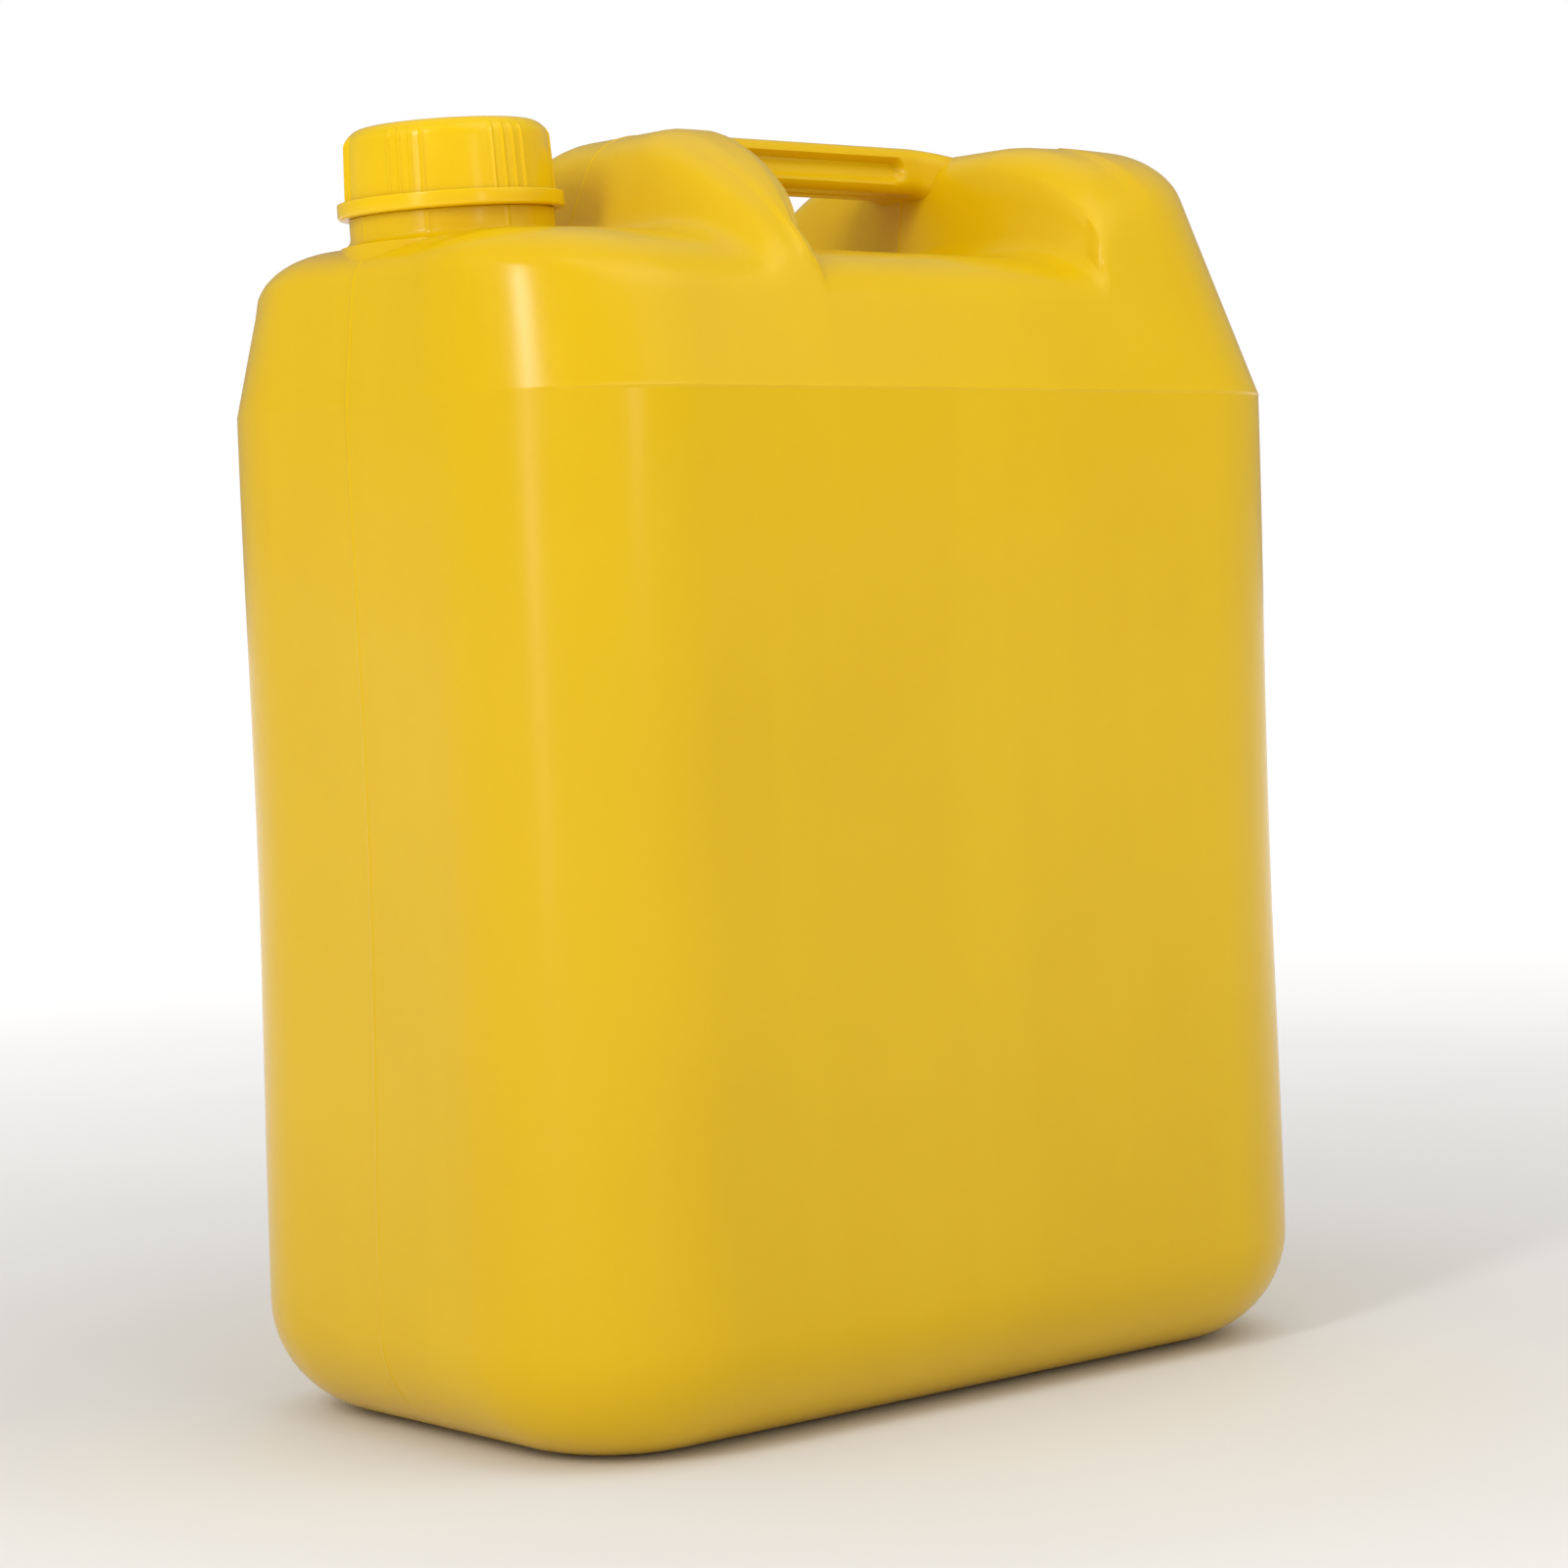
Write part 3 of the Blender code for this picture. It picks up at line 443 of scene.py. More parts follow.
    def corner_point(self, ring, end, sign, angle):
        """A point on a -Y corner's arc; the angle is 0 facing the side."""
        radius = self.corner - ring.edges[end]
        x = sign * (self.half_length - ring.ends[end] + radius * (math.sin(angle) - 1))
        y = -(self.half_width - ring.side) + radius * (1 - math.cos(angle))
        if ring.height is not None:
            return self.wall_point(x, y, ring.height)
        return x, y, self.corner_height(ring, end, angle)

    def short_side(self, ring, end):
        """Points along the ring's front (end 0) or rear (end 1), with half of each corner."""
        sign = (-1, 1)[end]
        straight = self.half_straight(ring, end)
        inset = ring.ends[end]
        points = []
        for kind, value in self.rows:
            if kind == "straight":
                x = sign * (self.half_length - inset)
                y = value * straight / (HALF_WIDTH - CORNER_RADIUS)
                if ring.height is not None:
                    points.append(self.wall_point(x, y, ring.height))
                else:
                    points.append((x, y, self.end_height(end, inset, x, y)))
                continue
            x, y, z = self.corner_point(ring, end, sign, math.pi / 2 - value)
            points.append((x, y if kind == "before" else -y, z))
        return points

    def loop(self, ring):
        """The ring's points, once round from its -X -Y corner by +X -Y, +X +Y and -X +Y."""
        side = self.long_side(ring)
        far = [(x, -y, z) for x, y, z in side]
        return side + self.short_side(ring, 1)[1:] + far[-2::-1] + self.short_side(ring, 0)[-2:0:-1]

    def loop_index(self, i, j):
        """Index in a loop of the border vertex at column i and row j."""
        last_i, last_j = len(self.columns) - 1, len(self.rows) - 1
        if j == 0:
            return i
        if i == last_i:
            return last_i + j
        if j == last_j:
            return last_i + last_j + (last_i - i)
        return 2 * last_i + last_j + (last_j - j)

    def base_height(self, x, y, _station):
        """The base: a flat rim round a shallow push-up."""
        share = 1.0
        for place, half in zip((x, y), RECESS_HALF):
            t = min(max((half - abs(place)) / RECESS_EDGE, 0.0), 1.0)
            share *= t * t * (3 - 2 * t)
        return self.base_z + BASE_RECESS * share

    def inside(self, ring, loop, height):
        """Inner vertices of the grid that closes a loop, blended from its four sides."""
        last_i, last_j = len(self.columns) - 1, len(self.rows) - 1

        def edge(i, j):
            return np.array(loop[self.loop_index(i, j)][:2])

        corners = edge(0, 0), edge(last_i, 0), edge(0, last_j), edge(last_i, last_j)
        spans = corners[1][0] - corners[0][0], corners[2][1] - corners[0][1]
        inside = {}
        for i in range(1, last_i):
            kind, value = self.columns[i]
            station = self.station(ring, value) if kind == "straight" else edge(i, 0)[0]
            bends = ring.height is None and kind == "straight"
            for j in range(1, last_j):
                u = (edge(i, 0)[0] - corners[0][0]) / spans[0]
                v = (edge(0, j)[1] - corners[0][1]) / spans[1]
                place = (1 - v) * edge(i, 0) + v * edge(i, last_j)
                place = place + (1 - u) * edge(0, j) + u * edge(last_i, j)
                place = place - (1 - u) * ((1 - v) * corners[0] + v * corners[2])
                x, y = place - u * ((1 - v) * corners[1] + v * corners[3])
                if bends:
                    straight = edge(i, 0)[0] - bow(station, edge(i, 0)[1])
                    x = straight + (x - edge(i, 0)[0]) * self.end_share(value) + bow(station, y)
                inside[i, j] = (x, y, height(x, y, station))
        return inside

    def add_cover(self, bm, border, inside, upwards):
        """Fills a loop with a grid of faces."""
        inner = {key: bm.verts.new(point) for key, point in inside.items()}

        def vert(i, j):
            return inner[i, j] if (i, j) in inner else border[self.loop_index(i, j)]

        for i in range(len(self.columns) - 1):
            for j in range(len(self.rows) - 1):
                quad = [vert(i, j), vert(i + 1, j), vert(i + 1, j + 1), vert(i, j + 1)]
                bm.faces.new(quad if upwards else quad[::-1])

    def mesh(self):
        """The whole surface as one closed mesh."""
        rings = self.rings()
        loops = [self.loop(ring) for ring in rings]
        bm = bmesh.new()
        levels = [[bm.verts.new(point) for point in loop] for loop in loops]
        count = len(loops[0])
        for low, high in zip(levels, levels[1:]):
            for k in range(count):
                n = (k + 1) % count
                bm.faces.new((low[k], low[n], high[n], high[k]))
        base = self.inside(rings[0], loops[0], self.base_height)
        roof = self.inside(rings[-1], loops[-1], self.roof_height)
        self.add_cover(bm, levels[0], base, False)
        self.add_cover(bm, levels[-1], roof, True)
        bmesh.ops.recalc_face_normals(bm, faces=bm.faces)
        return bm


# ---- turned, swept and lofted shapes ----

def turned(profile, steps):
    """A solid of revolution about Z from (radius, z) points that start and end on the axis."""
    bm = bmesh.new()
    bottom = bm.verts.new((0, 0, profile[0][1]))
    top = bm.verts.new((0, 0, profile[-1][1]))
    angles = [2 * math.pi * k / steps for k in range(steps)]
    loops = []
    for radius, z in profile[1:-1]:
        loops.append([bm.verts.new((radius * math.cos(a), radius * math.sin(a), z)) for a in angles])
    for k in range(steps):
        n = (k + 1) % steps
        bm.faces.new((bottom, loops[0][n], loops[0][k]))
        bm.faces.new((top, loops[-1][k], loops[-1][n]))
        for low, high in zip(loops, loops[1:]):
            bm.faces.new((low[k], low[n], high[n], high[k]))
    return bm


def turned_tube(profile, steps):
    """A ring turned from a closed (radius, z) outline that keeps clear of the axis."""
    bm = bmesh.new()
    angles = [2 * math.pi * k / steps for k in range(steps)]
    loops = []
    for radius, z in profile:
        loops.append([bm.verts.new((radius * math.cos(a), radius * math.sin(a), z)) for a in angles])
    for k in range(steps):
        n = (k + 1) % steps
        for low, high in zip(loops, loops[1:] + loops[:1]):
            bm.faces.new((low[k], low[n], high[n], high[k]))
    bmesh.ops.recalc_face_normals(bm, faces=bm.faces)
    return bm


def thread(root, crest, start_z, turns):
    """A helical ridge from root to crest radius, its root sunk into the wall it grows from."""
    steps = round(THREAD_STEPS * turns)
    outward = 1 if crest > root else -1
    bm = bmesh.new()
    sections = []
    for k in range(steps + 1):
        angle = THREAD_START + 2 * math.pi * turns * k / steps
        fade = min(1.0, min(k, steps - k) / THREAD_STEPS / THREAD_RUNOUT)
        z = start_z + THREAD_PITCH * turns * k / steps
        reach = root + (crest - root) * (THREAD_LEAST + (1 - THREAD_LEAST) * fade)
        inner = root - outward * THREAD_SINK
        section = ((inner, z - THREAD_FOOT), (reach, z - THREAD_TIP), (reach, z + THREAD_TIP),
                   (inner, z + THREAD_FOOT))
        sections.append([bm.verts.new((r * math.cos(angle), r * math.sin(angle), h))
                         for r, h in section])
    for low, high in zip(sections, sections[1:]):
        for k in range(4):
            bm.faces.new((low[k], low[(k + 1) % 4], high[(k + 1) % 4], high[k]))
    bm.faces.new(sections[0])
    bm.faces.new(sections[-1])
    bmesh.ops.recalc_face_normals(bm, faces=bm.faces)
    return bm


def rounded_section(half_width, low, high, radius, steps):
    """Corner-rounded rectangle in Y and Z, anticlockwise."""
    points = []
    for sign_y, sign_z, start in ((1, 1, 0), (-1, 1, 90), (-1, -1, 180), (1, -1, 270)):
        y = sign_y * (half_width - radius)
        z = (high - radius) if sign_z > 0 else (low + radius)
        for step in range(steps + 1):
            angle = math.radians(start + 90 * step / steps)
            points.append((y + radius * math.cos(angle), z + radius * math.sin(angle)))
    return points


def new_object(name, bm, finish=None):
    mesh = bpy.data.meshes.new(name)
    bm.to_mesh(mesh)
    bm.free()
    made = bpy.data.objects.new(name, mesh)
    bpy.context.scene.collection.objects.link(made)
    if finish:
        mesh.materials.append(finish)
    return made


def on_axis(made):
    """Stands a turned shape on the deck, on the leaning axis of the neck."""
    made.matrix_world = (Matrix.Translation((AXIS_X, 0.0, DECK_Z))
                         @ Matrix.Rotation(-AXIS_TILT, 4, "Y"))
    return made


def combine(target, *steps):
    """Joins or cuts (operation, tool) pairs into the target's mesh, and removes the tools."""
    for operation, tool in steps:
        step = target.modifiers.new(tool.name, "BOOLEAN")
        step.operation = operation
        step.object = tool
        step.solver = "MANIFOLD"
    bpy.context.view_layer.update()
    done = target.evaluated_get(bpy.context.evaluated_depsgraph_get())
    mesh = bpy.data.meshes.new_from_object(done)
    target.modifiers.clear()
    target.data = mesh
    for _, tool in steps:
        bpy.data.objects.remove(tool)


def smooth(made):
    made.data.shade_smooth()
    made.data.set_sharp_from_angle(angle=SHARP_ANGLE)


def swell(t):
    """A smooth bump: 1 where t is 0, and 0 beyond 1 either way."""
    return max(0.0, 1 - t * t) ** 2


def ease(value, low, high):
    """0 below low, 1 above high, and smooth between."""
    t = min(max((value - low) / (high - low), 0.0), 1.0)
    return t * t * (3 - 2 * t)


# ---- the can ----

def raise_marks(bm):
    """Raises the parting seam and the ridge's bead, but not past the can's full length."""
    bm.normal_update()
    limit = HALF_LENGTH + BASE_FLARE
    moves = []
    for vert in bm.verts:
        x, y, z = vert.co
        seam = SEAM_HEIGHT * swell(y / SEAM_HALF_WIDTH) * ease(z, *SEAM_FADE_Z)
        ridge = RIDGE_HEIGHT * swell((z - RIDGE_Z) / RIDGE_HALF_WIDTH)
        ridge *= 1 - ease(abs(x), *RIDGE_FADE_X)
        if seam + ridge:
            moves.append((vert, vert.co + vert.normal * (seam + ridge)))
    for vert, place in moves:
        place.x = min(max(place.x, -limit), limit)
        vert.co = place


def pocket_depth(x, z):
    """How deep the grip's side is at a place: a long recess with round ends, deepest at its top."""
    low, high = POCKET_Z
    radius = (high - low) / 2
    nearest = min(max(x, POCKET_X[0] + radius), POCKET_X[1] - radius)
    inside = radius - math.hypot(x - nearest, z - (low + high) / 2)
    share = POCKET_SHALLOW + (1 - POCKET_SHALLOW) * ease(z, low, high)
    return POCKET_DEPTH * ease(inside, *POCKET_EDGE) * share


def grip_section():
    """The grip's rounded section (y, z), with close points down its sides and at the seam."""
    outline = rounded_section(HANDLE_HALF_WIDTH, *HANDLE_Z, HANDLE_CORNER, HANDLE_CORNER_STEPS)
    points = []
    for (y0, z0), (y1, z1) in zip(outline, outline[1:] + outline[:1]):
        if abs(y0 - y1) > HANDLE_CORNER:
            ys = refined(sorted([*SEAM_ROWS, -abs(y0), abs(y0)]), GRIP_STEP_ACROSS)
            points += [(y, z0) for y in (ys if y0 < y1 else ys[::-1])[:-1]]
        else:
            count = max(1, round(abs(z0 - z1) / GRIP_STEP))
            points += [(y0 + (y1 - y0) * k / count, z0 + (z1 - z0) * k / count) for k in range(count)]
    return points


def grip_bar():
    """The grip, lofted along X; it grows where it runs into the humps."""
    section = grip_section()
    xs = refined([HANDLE_X[0], *POCKET_X, HANDLE_X[1]], GRIP_STEP_ALONG)
    bm = bmesh.new()
    loops = []
    for x in xs:
        away = 1 - ease(x, *HANDLE_FLARE_X[0]) + ease(x, *HANDLE_FLARE_X[1])
        grown = 1 + HANDLE_FLARE / HANDLE_HALF_WIDTH * away
        loop = []
        for y, z in section:
            side = ease(abs(y), *POCKET_SIDE)
            inward = math.copysign(pocket_depth(x, z) * side, y)
            height = HANDLE_Z[1] + (z - HANDLE_Z[1]) * grown - GRIP_DIP * ease(x, *GRIP_DIP_X)
            loop.append(bm.verts.new((x, y * grown - inward, height)))
        loops.append(loop)
    for low, high in zip(loops, loops[1:]):
        for k in range(len(low)):
            n = (k + 1) % len(low)
            bm.faces.new((low[k], low[n], high[n], high[k]))
    bm.faces.new(loops[0])
    bm.faces.new(loops[-1])
    bmesh.ops.recalc_face_normals(bm, faces=bm.faces)
    raise_marks(bm)
    return bm


def arc(centre, radius, start, end, count=5):
    """Points (radius, z) on part of a circle; the angles are in degrees, 0 pointing outward."""
    angles = [math.radians(start + (end - start) * k / (count - 1)) for k in range(count)]
    return [(centre[0] + radius * math.cos(a), centre[1] + radius * math.sin(a)) for a in angles]


def neck_form():
    """The neck: a filleted foot, a collar with fine lugs, a groove, a bead and the plain tube."""
    profile = [(0, NECK_ROOT), (COLLAR_RADIUS + FOOT_FLARE, NECK_ROOT)]
    profile += arc((COLLAR_RADIUS + FOOT_FLARE, FOOT_RISE), FOOT_FLARE, 270, 180, 9)
    profile += [(COLLAR_RADIUS, COLLAR_TOP - 0.0008)]
    profile += arc((COLLAR_RADIUS - COLLAR_EDGE, COLLAR_TOP - 0.0002), COLLAR_EDGE, 0, 90)
    profile += [(GROOVE_RADIUS, COLLAR_TOP + 0.0003), (GROOVE_RADIUS, BEAD_Z[0])]
    profile += arc((BEAD_RADIUS - BEAD_EDGE, BEAD_Z[0] + 0.0005), BEAD_EDGE, -80, 60, 6)
    profile += [(NECK_RADIUS + BEAD_EDGE, BEAD_Z[1]), (NECK_RADIUS, BEAD_Z[1] + 0.0005)]
    profile += arc((NECK_RADIUS - MOUTH_EDGE, NECK_TOP - MOUTH_EDGE), MOUTH_EDGE, 0, 90, 6)
    profile += [(0, NECK_TOP)]
    bm = turned(profile, NECK_STEPS)
    for vert in bm.verts:
        x, y, z = vert.co
        radius = math.hypot(x, y)
        if radius < GROOVE_RADIUS or not -0.0005 < z <= COLLAR_TOP:
            continue
        angle = math.atan2(y, x)
        away = min(abs(math.remainder(angle - lug, 2 * math.pi)) for lug in LUG_ANGLES)
        grown = LUG_HEIGHT * swell(away / LUG_HALF_WIDTH) * ease(z, 0.0005, 0.0025)
        vert.co.x += x / radius * grown
        vert.co.y += y / radius * grown
    return bm


def bore_form():
    low, high = NECK_ROOT - BORE_PAST, NECK_TOP + BORE_PAST
    wide, flare_z = BORE_RADIUS + MOUTH_FLARE, NECK_TOP - MOUTH_FLARE
    profile = [(0, low), (BORE_RADIUS, low), (BORE_RADIUS, flare_z)]
    profile += arc((wide, flare_z), MOUTH_FLARE, 180, 90, 6)
    return turned([*profile, (wide, high), (0, high)], NECK_STEPS)


def make_can(finish):
    skin = Skin().mesh()
    raise_marks(skin)
    can = new_object("can_shell", skin, finish)
    neck_thread = thread(NECK_RADIUS, NECK_THREAD_CREST, NECK_THREAD_Z, THREAD_TURNS)
    combine(can,
            ("UNION", on_axis(new_object("neck_form", neck_form()))),
            ("UNION", on_axis(new_object("neck_thread_form", neck_thread))),
            ("UNION", new_object("grip_form", grip_bar())),
            ("DIFFERENCE", new_object("hollow_form", Skin(draw_in=WALL, grid=1).mesh())),
            ("DIFFERENCE", on_axis(new_object("bore_form", bore_form()))))
    smooth(can)
    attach(can, "can")
    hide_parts("body")


# ---- the closure ----

def rib_angles():
    half = (RIBS_PER_GROUP - 1) / 2
    return [RIB_GROUP_ANGLE + 2 * math.pi * group / RIB_GROUPS + RIB_STEP * (rib - half)
            for group in range(RIB_GROUPS) for rib in range(RIBS_PER_GROUP)]


def cap_form():
    """The cap: a skirt with groups of fine ribs that run out on its rounded edge, and a flat top."""
    low, high = CAP_Z[0] - SKIRT_DROP, CAP_Z[1]
    shoulder = CAP_RADIUS - CAP_DRAFT
    dish = high - TOP_DISH
    outline = [(CAP_BORE, high - CAP_ROOF, 0.0), (CAP_BORE, low + SKIRT_EDGE[1], 0.0),
               (CAP_BORE + SKIRT_EDGE[0], low, 0.0), (CAP_RADIUS - SKIRT_CORNER, low, 1.0),
               (CAP_RADIUS, low + SKIRT_CORNER, 1.0)]
    for step in range(1, SKIRT_STEPS + 1):
        share = step / SKIRT_STEPS
        outline.append((CAP_RADIUS - CAP_DRAFT * share, low + (high - CAP_EDGE - low) * share, 1.0))
    for step in range(1, CAP_EDGE_STEPS + 1):
        angle = math.pi / 2 * step / CAP_EDGE_STEPS
        outline.append((shoulder - CAP_EDGE * (1 - math.cos(angle)),
                        high - CAP_EDGE * (1 - math.sin(angle)),
                        1 - ease(angle, *RIB_FADE)))
    outline += [(shoulder - CAP_EDGE - reach, z, 0.0) for reach, z in zip(TOP_RIM, (high, dish))]
    ribs = rib_angles()
    angles = [2 * math.pi * k / CAP_STEPS for k in range(CAP_STEPS)]
    rise = [RIB_HEIGHT * swell(min(abs(math.remainder(a - rib, 2 * math.pi)) for rib in ribs)
                               / RIB_HALF_WIDTH) for a in angles]
    bm = bmesh.new()
    loops = [[bm.verts.new(((radius + up * share) * math.cos(a), (radius + up * share) * math.sin(a), z))
              for a, up in zip(angles, rise)] for radius, z, share in outline]
    centre_in = bm.verts.new((0, 0, high - CAP_ROOF))
    centre_out = bm.verts.new((0, 0, dish))
    for k in range(CAP_STEPS):
        n = (k + 1) % CAP_STEPS
        for inner, outer in zip(loops, loops[1:]):
            bm.faces.new((inner[k], inner[n], outer[n], outer[k]))
        bm.faces.new((centre_in, loops[0][n], loops[0][k]))
        bm.faces.new((centre_out, loops[-1][k], loops[-1][n]))
    bmesh.ops.recalc_face_normals(bm, faces=bm.faces)
    return bm


def make_cap(finish):
    cap = on_axis(new_object("ribbed_cap", cap_form(), finish))
    inner = thread(CAP_BORE, CAP_THREAD_CREST, CAP_THREAD_Z, CAP_THREAD_TURNS)
    combine(cap, ("UNION", on_axis(new_object("cap_thread_form", inner))))
    smooth(cap)
    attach(cap, "cap")
    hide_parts("screw_cap")


def make_ring(finish):
    """The tamper ring, with rounded edges; its lip sits under the bead of the neck."""
    low, high = RING_Z
    edge = RING_EDGE
    outline = [(RING_LIP_BORE, RING_LIP_Z[0]), (RING_LIP_BORE + 0.0010, low)]
    outline += arc((RING_RADIUS - edge, low + edge), edge, 270, 360, 6)
    outline += arc((RING_RADIUS - edge / 2, high - edge / 2), edge / 2, 0, 90, 5)
    outline += [(RING_BORE + 0.0002, high), (RING_BORE, high - 0.0002),
                (RING_BORE, RING_LIP_Z[1] + 0.0004), (RING_LIP_BORE, RING_LIP_Z[1])]
    ring = on_axis(new_object("neck_ring", turned_tube(outline, RING_STEPS), finish))
    smooth(ring)
    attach(ring, "can")
    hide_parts("tamper_ring")


def make_disc(finish):
    """The sealing disc under the cap's roof, with a rolled edge and a pressed ring."""
    low, high = LINER_Z
    edge, pressed = LINER_EDGE, low + LINER_PRESS
    profile = [(0, low), (BORE_RADIUS - 0.0010, low), (BORE_RADIUS - edge, pressed),
               (NECK_RADIUS, pressed), (NECK_RADIUS + edge, low)]
    profile += arc((LINER_RADIUS - edge, low + edge), edge, 270, 360)
    profile += arc((LINER_RADIUS - edge, high - edge), edge, 0, 90)
    disc = on_axis(new_object("sealing_disc", turned([*profile, (0, high)], RING_STEPS), finish))
    smooth(disc)
    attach(disc, "seal")
    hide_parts("cap_liner")


# ---- finishes ----

class Nodes:
    """Adds nodes to a material and joins them, from the object's own coordinates."""

    def __init__(self, made):
        self.tree = made.node_tree
        self.place = self.tree.nodes.new("ShaderNodeTexCoord").outputs["Object"]

    def add(self, kind, inputs, **settings):
        node = self.tree.nodes.new(kind)
        for key, value in settings.items():
            setattr(node, key, value)
        for key, value in inputs.items():
            if isinstance(value, bpy.types.NodeSocket):
                self.tree.links.new(value, node.inputs[key])
            else:
                node.inputs[key].default_value = value
        return node

    def noise(self, scale, detail=2.0, stretch=(1, 1, 1), roughness=0.5):
        """Noise with scale features in a metre, stretched along the axes."""
        mapped = self.add("ShaderNodeMapping", {"Vector": self.place, "Scale": stretch})
        made = self.add("ShaderNodeTexNoise", {"Vector": mapped.outputs[0], "Scale": scale,
                                               "Detail": detail, "Roughness": roughness})
        return made.outputs["Fac"]

    def spread(self, value, low, high, from_low=0.3, from_high=0.7):
        made = self.add("ShaderNodeMapRange", {"Value": value, "From Min": from_low,
                                               "From Max": from_high, "To Min": low, "To Max": high})
        return made.outputs["Result"]

    def mix(self, share, first, second):
        made = self.add("ShaderNodeMix", {"Factor": share}, data_type="RGBA")
        for socket, value in zip((made.inputs[6], made.inputs[7]), (first, second)):
            if isinstance(value, bpy.types.NodeSocket):
                self.tree.links.new(value, socket)
            else:
                socket.default_value = value
        return made.outputs[2]

    def bump(self, height, distance, strength=1.0, normal=None):
        inputs = {"Height": height, "Distance": distance, "Strength": strength}
        if normal:
            inputs["Normal"] = normal
        return self.add("ShaderNodeBump", inputs).outputs["Normal"]


def new_material(name):
    made = bpy.data.materials.new(name)
    made.use_nodes = True
    return made, made.node_tree.nodes["Principled BSDF"], Nodes(made)


def can_plastic():
    """Blow-moulded polyethylene: satin, a little wavy, with faint streaks of flow."""
    made, shader, nodes = new_material("can_plastic")
    link = made.node_tree.links.new
    streaks = nodes.noise(7.0, 3.0, stretch=(5.0, 5.0, 0.35))
    clouds = nodes.noise(9.0, 3.0)
    tone = nodes.mix(nodes.spread(clouds, 0.0, 1.0), CAN_TONES[0], CAN_TONES[1])
    tone = nodes.mix(nodes.spread(streaks, 0.0, 0.35, 0.45, 0.75), tone, CAN_TONES[2])
    link(tone, shader.inputs["Base Color"])
    rough = nodes.spread(nodes.noise(28.0, 4.0, roughness=0.6), 0.20, 0.26)
    link(rough, shader.inputs["Roughness"])
    wavy = nodes.bump(nodes.noise(26.0, 1.0), 0.0005, 0.4)
    pebble = nodes.bump(nodes.noise(420.0, 2.0), 0.00004, 0.4, wavy)
    link(nodes.bump(nodes.noise(2600.0, 2.0), 0.00002, 0.5, pebble), shader.inputs["Normal"])
    shader.inputs["IOR"].default_value = 1.5
    shader.inputs["Specular IOR Level"].default_value = 0.28
    shader.inputs["Subsurface Weight"].default_value = 0.12
    shader.inputs["Subsurface Radius"].default_value = (1.0, 0.55, 0.12)
    shader.inputs["Subsurface Scale"].default_value = 0.006
    return made


def cap_plastic():
    """Injection-moulded cap: brighter and glossier, with a fine wavy surface."""
    made, shader, nodes = new_material("cap_plastic")
    link = made.node_tree.links.new
    clouds = nodes.noise(40.0, 2.0)
    link(nodes.mix(nodes.spread(clouds, 0.0, 1.0), *CAP_TONES), shader.inputs["Base Color"])
    rough = nodes.spread(nodes.noise(120.0, 4.0, roughness=0.6), 0.17, 0.25)
    link(rough, shader.inputs["Roughness"])
    shader.inputs["Specular IOR Level"].default_value = 0.3
    wavy = nodes.bump(nodes.noise(90.0, 1.0), 0.00008, 0.4)
    link(nodes.bump(nodes.noise(1800.0, 2.0), 0.00001, 0.4, wavy), shader.inputs["Normal"])
    shader.inputs["IOR"].default_value = 1.5
    shader.inputs["Subsurface Weight"].default_value = 0.10
    shader.inputs["Subsurface Radius"].default_value = (1.0, 0.55, 0.12)
    shader.inputs["Subsurface Scale"].default_value = 0.004
    return made


def foam():
    """White expanded polyethylene, with tiny closed cells."""
    made, shader, nodes = new_material("liner_foam")
    link = made.node_tree.links.new
    cells = nodes.add("ShaderNodeTexVoronoi", {"Vector": nodes.place, "Scale": 1600.0})
    tone = nodes.mix(nodes.spread(cells.outputs["Distance"], 0.0, 1.0, 0.0, 0.8), *FOAM_TONES)
    link(tone, shader.inputs["Base Color"])
    link(nodes.bump(cells.outputs["Distance"], 0.0001, 0.5), shader.inputs["Normal"])
    link(nodes.spread(nodes.noise(300.0), 0.6, 0.75), shader.inputs["Roughness"])
    return made


# ---- stage, light and camera ----

def make_stage():
    bm = bmesh.new()
    bmesh.ops.create_grid(bm, x_segments=1, y_segments=1, size=FLOOR_HALF)
    pale, shader, nodes = new_material("pale_floor")
    tone = nodes.mix(nodes.spread(nodes.noise(3.0), 0.0, 1.0), FLOOR_TONES[0], FLOOR_TONES[1])
    pale.node_tree.links.new(tone, shader.inputs["Base Color"])
    shader.inputs["Roughness"].default_value = 0.75
    shader.inputs["Specular IOR Level"].default_value = 0.1
    # painted glow: the floor emits white light of its own, stronger further from the can
    reach = nodes.add("ShaderNodeVectorMath", {"Vector": nodes.place}, operation="LENGTH")
    painted_glow = nodes.spread(reach.outputs["Value"], 0.0, FLOOR_PAINTED_GLOW, *FAR_REACH)
    shader.inputs["Emission Color"].default_value = (1.0, 1.0, 1.0, 1.0)
    pale.node_tree.links.new(painted_glow, shader.inputs["Emission Strength"])
    floor = new_object("floor", bm, pale)


def add_lamp(light, azimuth, elevation, distance):
    """Hangs a light over the can, towards an azimuth (0 is +X, 90 is +Y) and an elevation."""
    lamp = bpy.data.objects.new(light.name, light)
    bpy.context.scene.collection.objects.link(lamp)
    angle, rise = math.radians(azimuth), math.radians(elevation)
    away = Vector((math.cos(angle) * math.cos(rise), math.sin(angle) * math.cos(rise),
                   math.sin(rise)))
    lamp.location = Vector(LIT_POINT) + away * distance
    lamp.rotation_euler = away.to_track_quat("Z", "Y").to_euler()


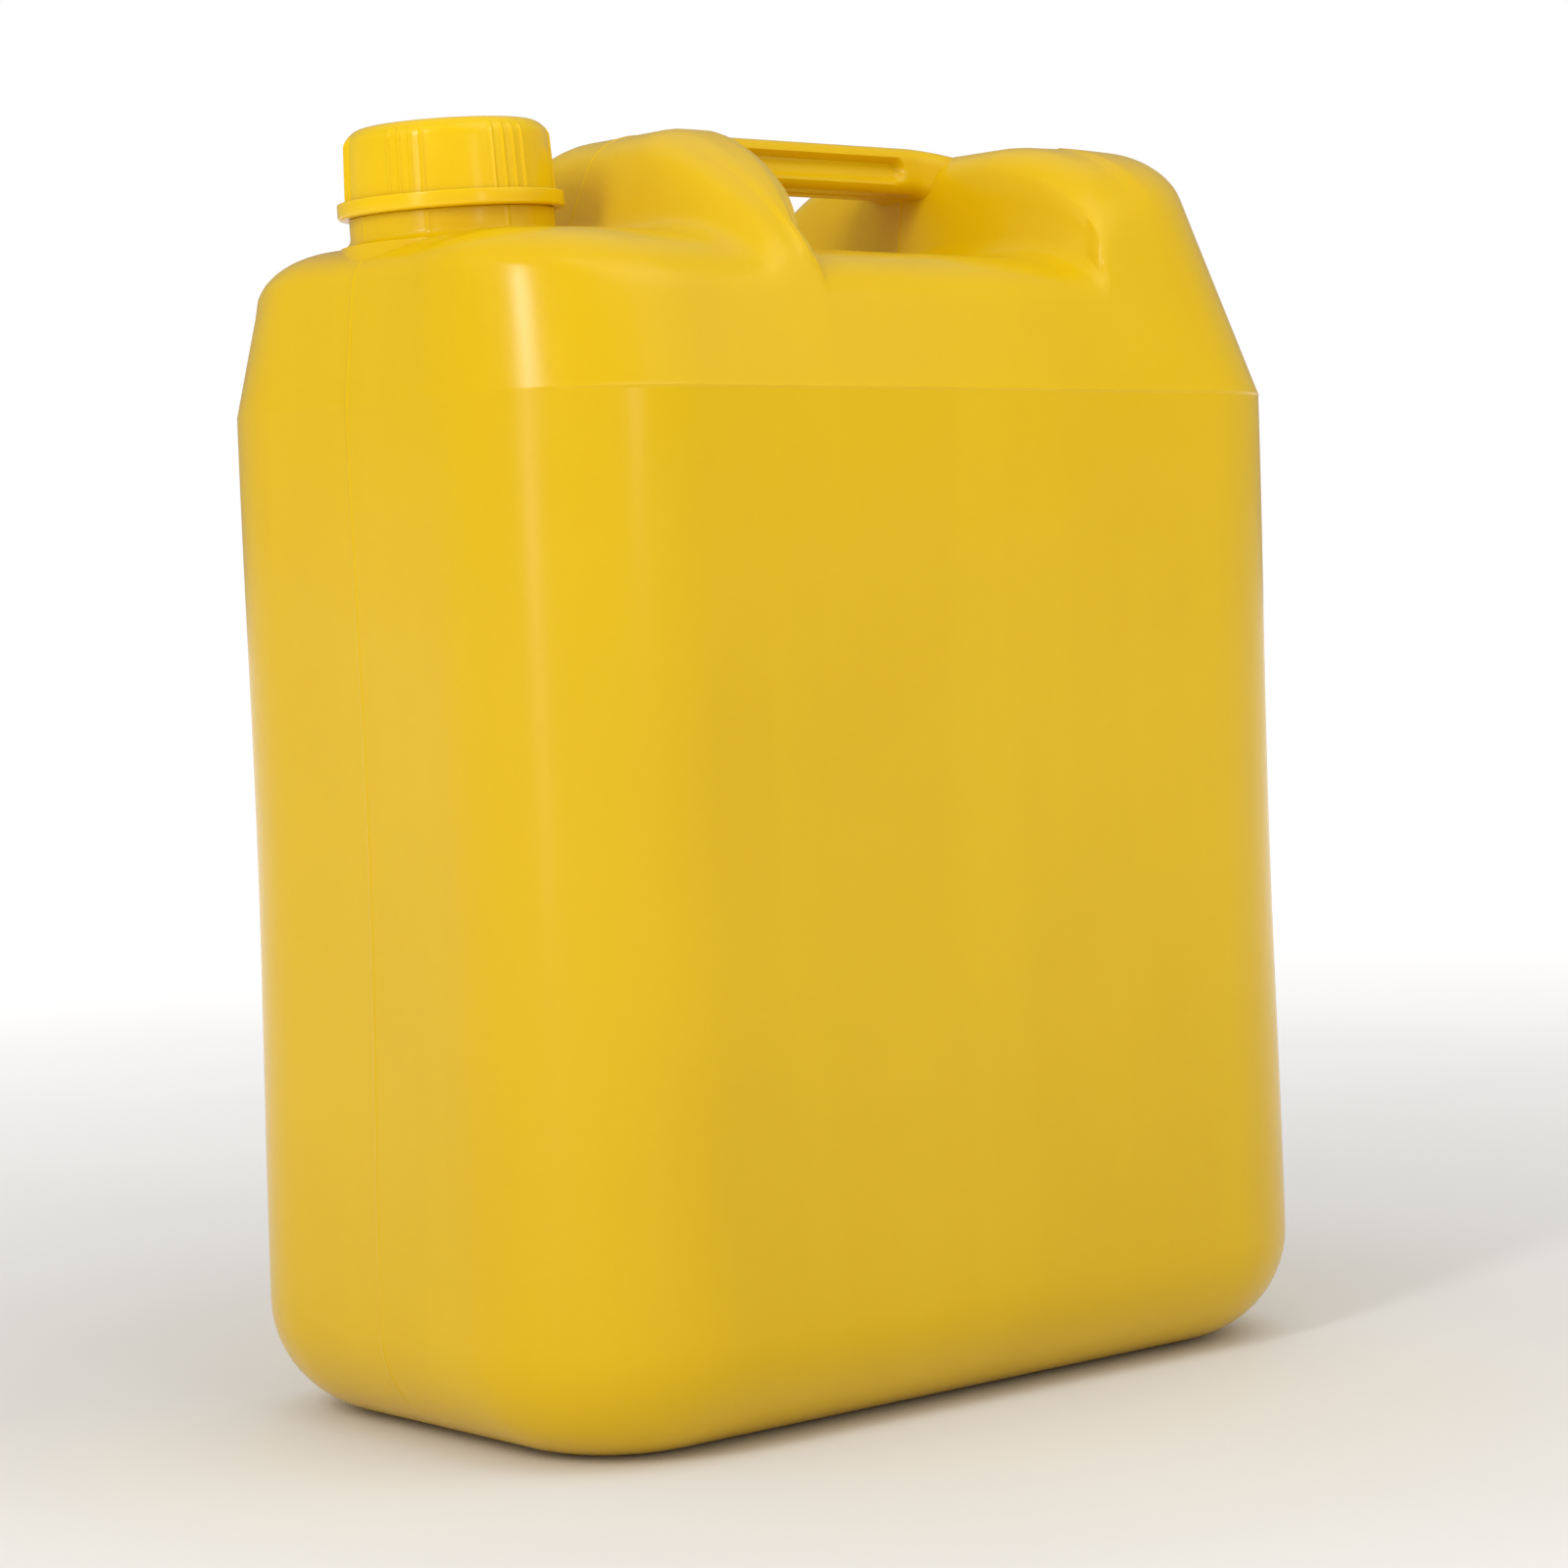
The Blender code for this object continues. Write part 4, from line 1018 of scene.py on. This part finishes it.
def make_lights():
    """A broad key light, soft boxes for the glints on the corner, and a pale room around them."""
    for name, azimuth, elevation, spread, strength in KEY_LIGHTS:
        key = bpy.data.lights.new(name, "SUN")
        key.angle = math.radians(spread)
        key.energy = strength
        add_lamp(key, azimuth, elevation, 2.0)
    for name, azimuth, elevation, distance, size, power in SOFT_BOXES:
        box = bpy.data.lights.new(name, "AREA")
        box.shape = "RECTANGLE"
        box.size, box.size_y = size
        box.energy = power
        add_lamp(box, azimuth, elevation, distance)
    world = bpy.data.worlds.new("studio")
    world.use_nodes = True
    nodes, links = world.node_tree.nodes, world.node_tree.links
    sky = nodes["Background"]
    sky.inputs["Color"].default_value = (1.0, 1.0, 1.0, 1.0)
    rays = nodes.new("ShaderNodeLightPath")
    strength = sky.inputs["Strength"]
    for ray, level in (("Is Camera Ray", ROOM_SEEN), ("Is Glossy Ray", ROOM_GLEAM)):
        share = nodes.new("ShaderNodeMapRange")
        share.inputs["To Max"].default_value = level
        share.inputs["To Min"].default_value = ROOM_LIGHT
        links.new(rays.outputs[ray], share.inputs["Value"])
        links.new(share.outputs["Result"], strength)
        strength = share.inputs["To Min"]
    bpy.context.scene.world = world


def make_camera():
    azimuth, pitch, roll = (math.radians(a) for a in CAMERA_ANGLES)
    back = Vector((math.sin(azimuth) * math.cos(pitch), -math.cos(azimuth) * math.cos(pitch),
                   math.sin(pitch)))
    right = Vector((math.cos(azimuth), math.sin(azimuth), 0.0))
    up = back.cross(right)
    across = right * math.cos(roll) - up * math.sin(roll)
    upright = right * math.sin(roll) + up * math.cos(roll)
    distance, aside, above = CAMERA_PLACE
    camera = bpy.data.objects.new("camera", bpy.data.cameras.new("camera"))
    bpy.context.scene.collection.objects.link(camera)
    turn = Matrix((across, upright, back)).transposed().to_4x4()
    camera.matrix_world = Matrix.Translation(back * distance + right * aside + up * above) @ turn
    camera.data.sensor_width = 36.0
    camera.data.lens = CAMERA_LENS
    camera.data.clip_start = 0.01
    bpy.context.scene.camera = camera


def main():
    cap_finish = cap_plastic()
    make_can(can_plastic())
    make_cap(cap_finish)
    make_ring(cap_finish)
    make_disc(foam())
    make_stage()
    make_lights()
    make_camera()
    bpy.context.scene.view_settings.view_transform = "Standard"


main()
